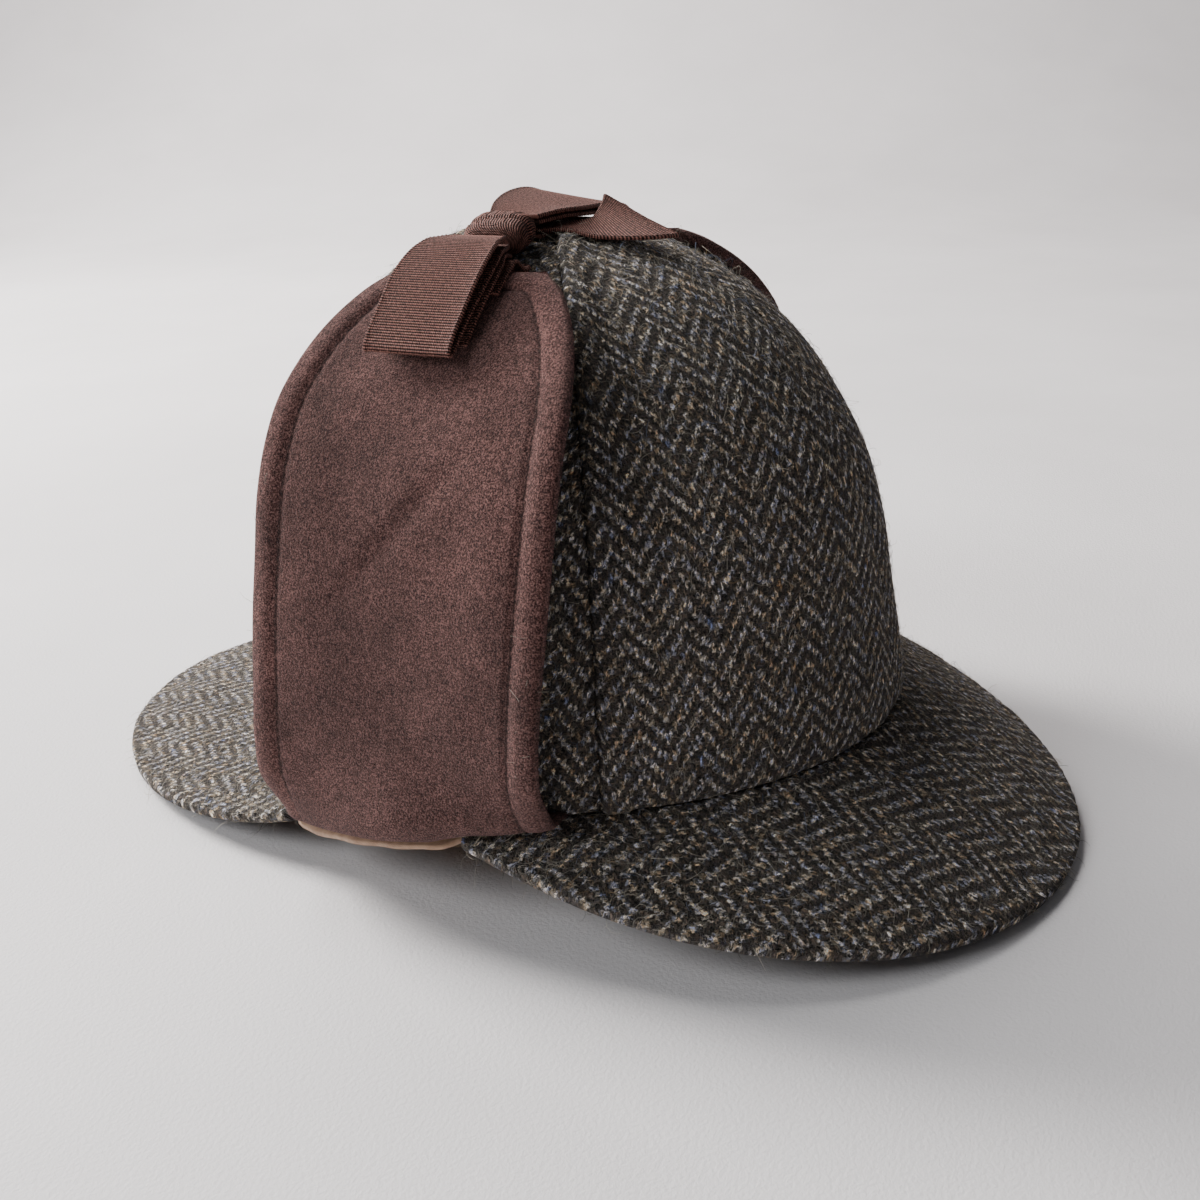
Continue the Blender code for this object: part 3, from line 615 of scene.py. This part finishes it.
def ribbon_row(x, lift, width, shift=0.0, tilt=0.0):
    """Five points across a ribbon whose middle lies at x on the hat's top."""
    half = RIBBON_WIDTH / 2 * width
    lean = math.radians(tilt)
    row = []
    for across in np.linspace(-1, 1, 5):
        y = RIBBON_WIDTH * shift + across * half * math.cos(lean)
        row.append(top_point(x, y, lift + across * half * math.sin(lean)))
    return row


def ribbon(name, node, rows, inside, material, cut_ends=(False, False)):
    """A length of ribbon with raised ribs across it, corded edges and ends that may be cut in teeth."""
    face = resample(np.array(rows), RIB / 4)
    width = lengths_along(face, 1)[:, -1].mean()
    # places across the ribbon, closer together at its corded edges
    corded = np.array([0, 0.0002, 0.0005, 0.0008])
    between = np.linspace(0.0012, width - 0.0012, 6)
    places = np.concatenate([corded, between, width - corded[::-1]]) / width
    own = np.linspace(0, 1, face.shape[1])
    face = np.stack([np.stack([np.interp(places, own, row[:, axis]) for axis in range(3)], -1)
                     for row in face])
    normals = outward(face, normals_of(face), inside)
    along = lengths_along(face, 0).mean(1)
    ahead = np.gradient(face, along, axis=0)
    reach = along[-1]
    to_side = np.minimum(places, 1 - places) * width
    teeth = 0.0007 * np.abs((places * width / 0.0015) % 2 - 1)
    shift = np.zeros((len(along), len(places)))
    if cut_ends[0]:
        shift += teeth * bump(along, 0.003)[:, None]
    if cut_ends[1]:
        shift -= teeth * bump(along - reach, 0.003)[:, None]
    face = face + ahead * shift[..., None]
    cord = 0.00022 * bump(to_side - 0.0005, 0.0006)
    twist = 0.00010 * bump(to_side - 0.0005, 0.0006) * np.cos(
        2 * math.pi * (along[:, None] / 0.0011 + places * width / 0.0009))
    ribs = 0.00007 * np.cos(2 * math.pi * along / RIB)[:, None] * ease(to_side, 0.0009, 0.0014)
    half = RIBBON_WALL / 2 * np.sqrt(np.clip(1 - (1 - np.clip(to_side / 0.0004, 0, 1)) ** 2, 0, 1))
    raised = half + (cord + twist + ribs) * (to_side > 0)
    middle = face - normals * RIBBON_WALL / 2
    upper = middle + normals * raised[..., None]
    lower = (middle - normals * raised[..., None])[:, ::-1]
    loops = np.concatenate([upper, lower[:, 1:-1]], axis=1)
    place = np.broadcast_to(places * width, shift.shape)
    cloth = np.stack([place, np.broadcast_to(along[:, None], shift.shape)], -1)
    loops_cloth = np.concatenate([cloth, cloth[:, ::-1][:, 1:-1]], axis=1)
    piece = closed_loops(name, loops, loops_cloth, material=material, slot="grosgrain", nodes=[node])
    return piece


def bow_loop(side, stations):
    """Rows of a loop: out along its upper layer, round its fold and back along its lower layer."""
    upper, lower = [], []
    for along, lift, gap, width, shift, tilt in stations:
        x = exit_x(side) + side * RIBBON_WIDTH * along
        upper.append(ribbon_row(x, RIBBON_WIDTH * lift, width, shift, tilt))
        lower.append(ribbon_row(x, RIBBON_WIDTH * (lift - gap), width, shift, tilt))
    along, lift, gap, width, shift, tilt = stations[-1]
    radius = RIBBON_WIDTH * gap / 2
    fold = []
    for turn in (30, 60, 90, 120, 150):
        angle = math.radians(turn)
        x = exit_x(side) + side * (RIBBON_WIDTH * along + radius * math.sin(angle))
        fold.append(ribbon_row(x, RIBBON_WIDTH * lift - radius * (1 - math.cos(angle)), width, shift, tilt))
    inside = (np.array(upper[len(upper) // 2][2]) + np.array(lower[len(lower) // 2][2])) / 2
    return upper + fold + lower[::-1], inside


def lead_rows(side):
    resting = CLEAR + 0.0009
    tip = side * float(side_profile(FLAP_TIP)[0])
    rows = []
    for share, width in LEAD_ON_CROWN:
        x = exit_x(side) + (tip - side * LEAD_CLIMB - exit_x(side)) * share
        rows.append(ribbon_row(x, resting - FLAP_STAND_OFF, width))
    for past in LEAD_ON_FLAP:
        rows.append(ribbon_row(tip + side * RIBBON_WIDTH * past, resting, 1))
    return rows


def make_bow(material):
    below = Vector((0, 0, SIDE_RIM_Z))
    for side, label, stations in ((-1, "right", RIGHT_LOOP), (1, "left", LEFT_LOOP)):
        rows, inside = bow_loop(side, stations)
        ribbon("bow_loop_" + label, "ribbon_loop_" + label, rows, inside, material)
        ribbon("bow_lead_" + label, "ribbon_lead_" + label, lead_rows(side), below, material)
    rows = []
    for along, lift, width, shift, tilt in RIGHT_TAIL:
        rows.append(ribbon_row(exit_x(-1) - RIBBON_WIDTH * along, RIBBON_WIDTH * lift, width, shift, tilt))
    ribbon("bow_tail_right", "ribbon_tail_right", rows, below, material, (False, True))
    rows = []
    for near, far in FRONT_TAIL:
        first, last = (crown_top(exit_x(1) + RIBBON_WIDTH * along, RIBBON_WIDTH * y, RIBBON_WIDTH * lift)
                       for along, y, lift in (near, far))
        rows.append([first + (last - first) * share for share in np.linspace(0, 1, 5)])
    ribbon("bow_tail_front", "ribbon_tail_front", rows, below, material, (False, True))
    make_knot(material)


def make_knot(material):
    """The band round the middle of the bow: a soft block with ribs along its length."""
    around = np.linspace(0, 2 * math.pi, 97)[:-1]
    along = np.linspace(-1, 1, 41)
    swell = (1 - np.abs(along) ** 3.2)[:, None] ** 0.42
    y = signed_power(np.cos(around), 0.75)[None, :] * KNOT_DEPTH / 2 * (0.80 + 0.20 * swell)
    z = signed_power(np.sin(around), 0.75)[None, :] * KNOT_HEIGHT / 2 * np.maximum(swell, 0.02)
    y = y * np.maximum(swell, 0.02) ** 0.35
    x = np.broadcast_to(along[:, None] * KNOT_LENGTH / 2, y.shape)
    points = np.stack([x, y, z], -1)
    travel = lengths_along(points, 1)
    normals = outward(points, normals_of(points, wrap=True), Vector((0, 0, 0)))
    ribs = 0.00014 * np.cos(2 * math.pi * travel / (RIB * 1.25))
    pinch = -0.0007 * bump(x + 0.0012 * np.sin(around * 2), 0.0012)
    points = points + normals * ((ribs + pinch) * np.clip(swell, 0, 1))[..., None]
    share = abs(KNOT_X) / (CROWN_WIDTH / 2)
    height = (1 - share ** DOME_POWER) ** (1 / DOME_POWER)
    normal_x, normal_z = side_profile(height)[1:]
    lean = -math.atan2(normal_x, normal_z)
    turn = np.array(Matrix.Rotation(lean, 3, "Y"))
    points = points @ turn.T + top_point(KNOT_X, 0, KNOT_HEIGHT / 2 + CLEAR - FLAP_STAND_OFF)
    cloth = np.stack([x, travel], -1)
    closed_loops("bow_knot", points, cloth, material=material, slot="grosgrain", nodes=["ribbon_knot"])


def fibres(name, faces, count, length, lift, material, slot, seed):
    """Loose curled fibres on the given faces, each a fine tube with its tint in its cloth coordinate."""
    random = np.random.default_rng(SEED + seed)
    places, ups = [], []
    weights = [points.shape[0] * points.shape[1] for points, normals in faces]
    for (points, normals), weight in zip(faces, weights):
        number = int(count * weight / sum(weights))
        row = random.uniform(0, points.shape[0] - 1.001, number)
        col = random.uniform(0, points.shape[1] - 1.001, number)
        i, k = row.astype(int), col.astype(int)
        share = random.uniform(0, 1, (number, 1))
        places.append(points[i, k] + (points[i + 1, k + 1] - points[i, k]) * share)
        ups.append(normals[i, k])
    place, up = np.concatenate(places), np.concatenate(ups)
    number = len(place)
    tangent = np.cross(up, random.normal(size=(number, 3)))
    tangent /= np.linalg.norm(tangent, axis=1, keepdims=True)
    sideways = np.cross(up, tangent)
    run = length * random.lognormal(0, 0.45, number)
    curl = random.normal(0, 2.0, number)
    curl[np.abs(curl) < 0.1] = 0.1
    rise = lift * random.lognormal(0, 0.6, number)
    steps = 5
    t = np.linspace(0, 1, steps)[None, :]
    bend = curl[:, None] * t
    path = (place[:, None] - up[:, None] * 0.0002
            + tangent[:, None] * (run[:, None] * np.sin(bend) / curl[:, None])[..., None]
            + sideways[:, None] * (run[:, None] * (1 - np.cos(bend)) / curl[:, None])[..., None]
            + up[:, None] * (rise[:, None] * np.sin(t * random.uniform(1.2, 3.0, (number, 1))))[..., None])
    path[..., 2] = np.maximum(path[..., 2], FLOOR_GAP)
    ahead = np.gradient(path, axis=1)
    ahead /= np.linalg.norm(ahead, axis=-1, keepdims=True)
    first = np.cross(ahead, up[:, None])
    first /= np.maximum(np.linalg.norm(first, axis=-1, keepdims=True), 1e-9)
    second = np.cross(ahead, first)
    radius = FIBRE_RADIUS * random.uniform(0.7, 1.4, number)[:, None] * (1 - 0.5 * t)
    sides = 3
    ring = []
    for k in range(sides):
        angle = 2 * math.pi * k / sides
        ring.append(path + (first * math.cos(angle) + second * math.sin(angle)) * radius[..., None])
    points = np.stack(ring, 2).reshape(-1, 3)
    base = np.arange(number)[:, None] * steps * sides
    faces = []
    for step in range(steps - 1):
        for k in range(sides):
            after = (k + 1) % sides
            low, high = step * sides, (step + 1) * sides
            faces.append(base + np.array([low + k, low + after, high + after, high + k]))
    faces = np.concatenate(faces).tolist()
    faces += (base + np.arange(sides)[::-1]).tolist()
    faces += (base + (steps - 1) * sides + np.arange(sides)).tolist()
    tint = random.uniform(0, 1, (number, 2))
    cloth = np.repeat(tint, steps * sides, axis=0)
    return add_piece(name, points, cloth, faces, material, slot)


class Nodes:
    """Short-hand for building a material's node tree."""

    def __init__(self, name):
        self.material = bpy.data.materials.new(name)
        self.material.use_nodes = True
        self.tree = self.material.node_tree
        self.shader = self.tree.nodes["Principled BSDF"]

    def put(self, socket, value):
        if isinstance(value, bpy.types.NodeSocket):
            self.tree.links.new(value, socket)
        else:
            socket.default_value = value

    def node(self, kind, *inputs, **settings):
        made = self.tree.nodes.new("ShaderNode" + kind)
        for key, value in settings.items():
            setattr(made, key, value)
        for socket, value in zip(made.inputs, inputs):
            if value is not None:
                self.put(socket, value)
        return made

    def math(self, operation, *inputs):
        return self.node("Math", *inputs, operation=operation).outputs[0]

    def plus(self, first, last):
        return self.math("ADD", first, last)

    def times(self, first, last):
        return self.math("MULTIPLY", first, last)

    def vector(self, x, y, z=0.0):
        return self.node("CombineXYZ", x, y, z).outputs[0]

    def cloth(self):
        """The cloth coordinates, in metres, across and along."""
        split = self.node("SeparateXYZ", self.node("UVMap", uv_map="cloth").outputs[0])
        return split.outputs[0], split.outputs[1]

    def noise(self, vector, scale, detail=2.0, roughness=0.5):
        made = self.node("TexNoise", noise_dimensions="3D")
        self.put(made.inputs["Vector"], vector)
        made.inputs["Scale"].default_value = scale
        made.inputs["Detail"].default_value = detail
        made.inputs["Roughness"].default_value = roughness
        return made.outputs["Fac"]

    def ramp(self, value, stops, interpolation="LINEAR"):
        made = self.node("ValToRGB", value)
        line = made.color_ramp
        line.interpolation = interpolation
        for index, (place, colour) in enumerate(stops):
            stop = line.elements[index] if index < 2 else line.elements.new(place)
            stop.position = place
            stop.color = (*colour, 1)
        return made.outputs[0]

    def mix(self, share, first, last, blend="MIX"):
        made = self.node("Mix", data_type="RGBA", blend_type=blend)
        self.put(made.inputs[0], share)
        for socket, value in ((made.inputs[6], first), (made.inputs[7], last)):
            self.put(socket, (*value, 1) if isinstance(value, tuple) else value)
        return made.outputs[2]

    def finish(self, colour, height, depth, roughness, sheen, sheen_tint, specular=0.25):
        made = self.node("Bump")
        made.inputs["Distance"].default_value = depth
        made.inputs["Strength"].default_value = 1.0
        self.put(made.inputs["Height"], height)
        self.put(self.shader.inputs["Base Color"], colour)
        self.put(self.shader.inputs["Normal"], made.outputs[0])
        self.put(self.shader.inputs["Roughness"], roughness)
        self.shader.inputs["Sheen Weight"].default_value = sheen
        self.shader.inputs["Sheen Roughness"].default_value = 0.4
        self.shader.inputs["Sheen Tint"].default_value = (*sheen_tint, 1)
        self.shader.inputs["Specular IOR Level"].default_value = specular
        return self.material


def tweed_material():
    """Two-and-two herringbone: light yarns along the cloth over and under dark yarns across it."""
    n = Nodes("tweed")
    u, v = n.cloth()
    u, v = n.math("DIVIDE", u, END), n.math("DIVIDE", v, PICK)
    slow = n.node("TexNoise", n.vector(u, v))
    slow.inputs["Scale"].default_value = 0.12
    slow.inputs["Detail"].default_value = 1.0
    drift = n.node("SeparateColor", slow.outputs["Color"])
    u = n.plus(u, n.times(n.math("SUBTRACT", drift.outputs[0], 0.5), 1.6))
    v = n.plus(v, n.times(n.math("SUBTRACT", drift.outputs[1], 0.5), 1.6))
    column = n.math("FLOORED_MODULO", n.math("FLOOR", n.math("DIVIDE", u, COLUMN_ENDS)), 2.0)
    quick = n.node("TexNoise", n.vector(u, v))
    quick.inputs["Scale"].default_value = 0.95
    quick.inputs["Detail"].default_value = 3.0
    quick.inputs["Roughness"].default_value = 0.75
    shake = n.node("SeparateColor", quick.outputs["Color"])
    u = n.plus(u, n.times(n.math("SUBTRACT", shake.outputs[0], 0.5), 2.1))
    v = n.plus(v, n.times(n.math("SUBTRACT", shake.outputs[1], 0.5), 2.1))
    end, pick = n.math("FLOOR", u), n.math("FLOOR", v)
    in_end, in_pick = n.math("FRACT", u), n.math("FRACT", v)
    lean = n.math("SUBTRACT", 1.0, n.times(column, 2.0))
    phase = n.math("FLOORED_MODULO", n.math("SUBTRACT", pick, n.times(lean, end)), 4.0)
    light = n.math("LESS_THAN", phase, 1.5)
    dark_share = n.math("SUBTRACT", 1.0, light)
    # how far along its float each point lies
    along_end = n.math("DIVIDE", n.plus(phase, in_pick), 2.0)
    back = n.plus(n.math("SUBTRACT", 3.0, phase), in_end)
    forth = n.plus(n.math("SUBTRACT", phase, 2.0), in_end)
    along_pick = n.plus(n.times(back, n.math("SUBTRACT", 1.0, column)),
                        n.times(forth, column))
    along_pick = n.math("DIVIDE", along_pick, 2.0)

    def hump(place, sharpness):
        low = n.times(n.times(place, n.math("SUBTRACT", 1.0, place)), 4.0)
        return n.math("POWER", n.math("MAXIMUM", low, 0.0), sharpness)

    end_height = n.times(hump(in_end, 0.5), hump(along_end, 0.5))
    pick_height = n.times(n.times(hump(in_pick, 0.5), hump(along_pick, 0.5)), 0.6)
    weave = n.plus(n.times(end_height, light), n.times(pick_height, dark_share))
    # fibres run along each yarn, a little twisted
    twisted = n.plus(n.times(u, 2.3), n.times(v, 1.1))
    hair_end = n.noise(n.vector(twisted, n.times(v, 0.9)), 1.0, 2.0, 0.6)
    hair_pick = n.noise(n.vector(n.times(u, 1.1), n.times(v, 2.5), 9.0), 1.0, 2.0, 0.6)
    hair = n.plus(n.times(hair_end, light), n.times(hair_pick, dark_share))
    tints = [
        (0.0, (0.020, 0.014, 0.013)), (1.0, (0.72, 0.64, 0.55)), (0.26, (0.085, 0.064, 0.050)),
        (0.34, (0.290, 0.200, 0.120)), (0.43, (0.28, 0.240, 0.180)), (0.51, (0.47, 0.430, 0.385)),
        (0.58, (0.135, 0.150, 0.230)), (0.65, (0.23, 0.225, 0.24)), (0.73, (0.42, 0.33, 0.21)),
    ]
    slow_place = n.vector(n.times(end, 1.7), n.times(v, 0.30))
    slow_tint = n.noise(slow_place, 0.9, 2.0, 0.7)
    fibre_place = n.vector(n.times(u, 1.9), n.times(v, 0.8), 5.0)
    fibre_tint = n.noise(fibre_place, 1.0, 3.0, 0.7)
    both = n.plus(n.times(slow_tint, 0.60), n.times(fibre_tint, 0.40))
    stretched = n.plus(0.5, n.times(n.math("SUBTRACT", both, 0.5), 2.1))
    yarn = n.ramp(stretched, tints)
    # rare lengths of yarn are rust or blue
    fleck_place = n.vector(n.times(end, 2.3), n.times(v, 0.35), 4.0)
    fleck = n.noise(fleck_place, 0.8, 1.0, 0.5)
    rust_share = n.ramp(fleck, [(0.68, (0, 0, 0)), (0.76, (0.8, 0.8, 0.8))])
    blue_share = n.ramp(fleck, [(0.24, (0.8, 0.8, 0.8)), (0.32, (0, 0, 0))])
    yarn = n.mix(rust_share, yarn, (0.27, 0.15, 0.065))
    yarn = n.mix(blue_share, yarn, (0.12, 0.16, 0.32))
    dark = n.ramp(fibre_tint, [(0.28, (0.016, 0.016, 0.030)), (0.70, (0.230, 0.165, 0.115)),
                               (0.48, (0.036, 0.028, 0.027))])
    colour = n.mix(light, dark, yarn)
    # painted shade: depth darkens the colour where the weave sinks, between the yarns and at the ends of
    # their floats; shade multiplies this painted shade with the fibres' grain and the random worn tone
    depth = n.plus(0.05, n.times(weave, 0.95))
    grain = n.math("MAXIMUM", n.plus(-7.9, n.times(hair, 18.4)), 0.03)
    worn = n.noise(n.vector(u, v, 12.0), 0.42, 3.0, 0.65)
    worn = n.math("MAXIMUM", n.plus(-0.4, n.times(worn, 3.0)), 0.35)
    shade = n.times(n.times(depth, grain), worn)
    colour = n.mix(1.0, colour, shade, "MULTIPLY")
    # curled fibres lie over both kinds of yarn
    curl = n.node("TexNoise", n.vector(u, v, 3.0))
    curl.inputs["Scale"].default_value = 2.0
    curl.inputs["Detail"].default_value = 1.0
    curl.inputs["Distortion"].default_value = 2.2
    line = n.math("ABSOLUTE", n.math("SUBTRACT", curl.outputs["Fac"], 0.5))
    line = n.math("MAXIMUM", n.math("SUBTRACT", 1.0, n.math("DIVIDE", line, 0.045)), 0.0)
    thinned = n.math("MINIMUM", n.times(line, n.times(worn, 0.60)), 0.8)
    colour = n.mix(thinned, colour, n.mix(0.45, yarn, (0.44, 0.40, 0.32)))
    height = n.plus(weave, n.times(hair, 1.5))
    height = n.plus(height, n.times(line, 0.25))
    return n.finish(colour, height, 0.0007, 0.95, 0.18, (0.75, 0.73, 0.70), specular=0.12)


def moleskin_material():
    """Brushed cotton with a short nap."""
    n = Nodes("moleskin")
    place = n.node("TexCoord").outputs["Object"]
    nap = n.noise(place, 2400.0, 3.0, 0.75)
    tuft = n.noise(place, 600.0, 2.0, 0.6)
    brushed = n.noise(place, 110.0, 3.0, 0.6)
    painted_shade_patches = n.noise(place, 26.0, 2.0, 0.5)
    fine = n.plus(n.times(nap, 0.85), n.times(tuft, 0.15))
    base = n.ramp(fine, [(0.40, (0.012, 0.005, 0.005)), (0.61, (0.340, 0.172, 0.150)),
                         (0.47, (0.075, 0.034, 0.031)), (0.53, (0.150, 0.072, 0.064))])
    # tone mixes the nap's brushing mottle, which is the cloth's own, with soft large patches of painted
    # shade
    tone = n.plus(n.times(brushed, 0.70), n.times(painted_shade_patches, 0.80))
    tone = n.plus(0.02, tone)
    base = n.mix(1.0, base, tone, "MULTIPLY")
    # the sewn margin, puffed, is painted lighter as a painted highlight, and its sunk line of stitches is
    # painted dark as painted shade
    split = n.node("SeparateXYZ", n.node("UVMap", uv_map="edge").outputs[0])
    off_line = n.math("DIVIDE", n.math("SUBTRACT", split.outputs[0], MARGIN), 0.00045)
    line = n.math("MAXIMUM", n.math("SUBTRACT", 1.0, n.times(off_line, off_line)), 0.0)
    beat = n.math("SINE", n.times(split.outputs[1], 2 * math.pi / STITCH))
    line = n.times(line, n.plus(0.70, n.times(beat, 0.25)))
    # painted highlight: the margin is painted lighter than the rest of the facing
    margin = n.math("LESS_THAN", split.outputs[0], MARGIN)
    base = n.mix(1.0, base, n.plus(0.95, n.times(margin, 0.17)), "MULTIPLY")
    # painted shade along the sunk line of stitches, beating with the stitches
    base = n.mix(line, base, (0.008, 0.004, 0.004))
    return n.finish(base, fine, 0.0010, 0.95, 0.28, (0.75, 0.58, 0.55), specular=0.1)


def grosgrain_material():
    """Ribbon whose fine threads run along it over the ribs that run across."""
    n = Nodes("grosgrain")
    u, v = n.cloth()
    thread = n.math("SINE", n.times(u, 2 * math.pi / 0.00045))
    rib = n.math("COSINE", n.times(v, 2 * math.pi / RIB))
    speck = n.noise(n.vector(n.times(u, 2600.0), n.times(v, 900.0)), 1.0, 2.0, 0.6)
    # the ribs and threads lighten the colour on their crests and darken it in their troughs: painted
    # highlight and painted shade following the relief; speck adds small random specks
    tone = n.plus(n.times(rib, 0.26), n.times(thread, 0.12))
    tone = n.plus(tone, speck)
    colour = n.ramp(tone, [(0.20, (0.005, 0.002, 0.001)), (0.92, (0.40, 0.180, 0.145)),
                           (0.50, (0.066, 0.027, 0.021))])
    height = n.plus(n.times(thread, 0.3), n.times(rib, 0.7))
    return n.finish(colour, height, 0.00020, 0.65, 0.06, (0.8, 0.50, 0.45), specular=0.15)


def lining_material():
    n = Nodes("lining")
    u, v = n.cloth()
    twill_line = n.math("SINE", n.times(n.plus(u, v), 2 * math.pi / 0.0006))
    mottle = n.noise(n.node("TexCoord").outputs["Object"], 300.0, 3.0, 0.6)
    # the twill lines lighten and darken the colour along the weave's diagonal ribs, painted highlight and
    # painted shade following the relief, over a random mottle
    tone = n.plus(n.times(twill_line, 0.10), mottle)
    colour = n.ramp(tone, [(0.25, (0.30, 0.17, 0.105)), (0.8, (0.56, 0.37, 0.25))])
    height = n.plus(twill_line, mottle)
    return n.finish(colour, height, 0.00008, 0.6, 0.15, (1, 0.9, 0.8), specular=0.4)


def fibre_material(name, stops):
    n = Nodes(name)
    colour = n.ramp(n.cloth()[0], stops, "CONSTANT")
    n.put(n.shader.inputs["Base Color"], colour)
    n.shader.inputs["Roughness"].default_value = 0.8
    n.shader.inputs["Specular IOR Level"].default_value = 0.2
    return n.material


def floor_material():
    n = Nodes("floor")
    place = n.node("TexCoord").outputs["Object"]
    mottle = n.noise(place, 5.0, 4.0, 0.6)
    colour = n.ramp(mottle, [(0.3, (0.71, 0.685, 0.69)), (0.7, (0.78, 0.755, 0.76))])
    grain = n.noise(place, 900.0, 3.0, 0.6)
    return n.finish(colour, grain, 0.0002, 0.7, 0.0, (1, 1, 1), specular=0.3)


def make_floor():
    """A pale floor that curves up into a backdrop far behind the hat."""
    side, back, curve = 3.0, 1.2, 1.0
    profile = [(-side, 0.0), (back, 0.0)]
    for step in range(1, 13):
        angle = math.pi / 2 * step / 12
        profile.append((back + curve * math.sin(angle), curve * (1 - math.cos(angle))))
    profile.append((back + curve, 3.0))
    ahead = Vector((CAMERA_AHEAD[0], CAMERA_AHEAD[1], 0)).normalized()
    across = Vector((-ahead.y, ahead.x, 0))
    points = [ahead * place + across * edge * side + Vector((0, 0, z))
              for place, z in profile for edge in (-1, 1)]
    faces = [(2 * i, 2 * i + 1, 2 * i + 3, 2 * i + 2) for i in range(len(profile) - 1)]
    mesh = bpy.data.meshes.new("floor")
    mesh.from_pydata(points, [], faces)
    mesh.shade_smooth()
    mesh.materials.append(floor_material())
    floor = bpy.data.objects.new("floor", mesh)
    bpy.context.scene.collection.objects.link(floor)


def area_light(name, place, target, size, power, colour):
    light = bpy.data.lights.new(name, "AREA")
    light.shape = "DISK"
    light.size = size
    light.energy = power
    light.color = colour
    lamp = bpy.data.objects.new(name, light)
    lamp.location = place
    lamp.rotation_euler = (Vector(target) - Vector(place)).to_track_quat("-Z", "Y").to_euler()
    bpy.context.scene.collection.objects.link(lamp)


def make_studio():
    world = bpy.data.worlds.new("studio")
    world.use_nodes = True
    sky = world.node_tree.nodes["Background"]
    sky.inputs["Color"].default_value = (0.93, 0.95, 1.0, 1)
    sky.inputs["Strength"].default_value = 0.09
    bpy.context.scene.world = world
    area_light("key", (0.05, 1.25, 0.90), (0, 0, 0.06), 0.6, 47, (1.0, 0.97, 0.94))
    area_light("side", (-1.05, 0.75, 0.95), (0, 0, 0.08), 0.7, 13, (0.96, 0.98, 1.0))
    area_light("overhead", (0.1, 0.9, 1.7), (0, 0, 0), 1.0, 21, (1.0, 0.99, 0.98))
    area_light("backdrop", (0.9, 0.9, 1.5), (2.0, 0.9, 0.3), 1.2, 30, (1.0, 0.96, 0.94))
    camera = bpy.data.cameras.new("camera")
    camera.lens = CAMERA_LENS
    camera.sensor_width = 36
    camera.clip_start = 0.01
    holder = bpy.data.objects.new("camera", camera)
    columns = [Vector(CAMERA_RIGHT), Vector(CAMERA_UP), -Vector(CAMERA_AHEAD)]
    turn = Matrix(columns).transposed().to_4x4()
    holder.matrix_world = Matrix.Translation(CAMERA_PLACE) @ turn
    bpy.context.scene.collection.objects.link(holder)
    bpy.context.scene.camera = holder


TWEED = tweed_material()
MOLESKIN = moleskin_material()
GROSGRAIN = grosgrain_material()
LINING = lining_material()
WOOL = fibre_material("wool", [
    (0.0, (0.44, 0.40, 0.33)), (0.35, (0.26, 0.24, 0.20)), (0.62, (0.07, 0.06, 0.055)),
    (0.78, (0.20, 0.24, 0.34)), (0.86, (0.40, 0.28, 0.15)), (0.92, (0.62, 0.57, 0.48)),
])

crown_faces = []
panel_names = ["front_right", "side_right", "rear_right", "rear_left", "side_left", "front_left"]
for number, name in enumerate(panel_names):
    crown_faces.append(crown_panel(name, number, TWEED))
make_lining(LINING)
front_face = peak("tweed_peak_front", "peak_front", 0, PEAK_SPAN, PEAK_REACH, PEAK_GRAIN, TWEED)
rear_face = peak("tweed_peak_rear", "peak_rear", math.pi, REAR_PEAK_SPAN, REAR_PEAK_REACH, 0, TWEED)
flap_edges = []
for side in ("right", "left"):
    flap_edges += ear_flap(side, MOLESKIN, TWEED)
make_bow(GROSGRAIN)
fibres("wool_crown_right", crown_faces[:3], 6900, 0.0033, 0.0007, WOOL, "tweed", 1)
fibres("wool_crown_left", crown_faces[3:], 5200, 0.0033, 0.0007, WOOL, "tweed", 2)
fibres("wool_peaks", [front_face, rear_face], 6000, 0.0033, 0.0007, WOOL, "tweed", 3)
fibres("wool_flaps", flap_edges, 900, 0.0028, 0.0012, WOOL, "tweed", 4)
make_floor()
make_studio()
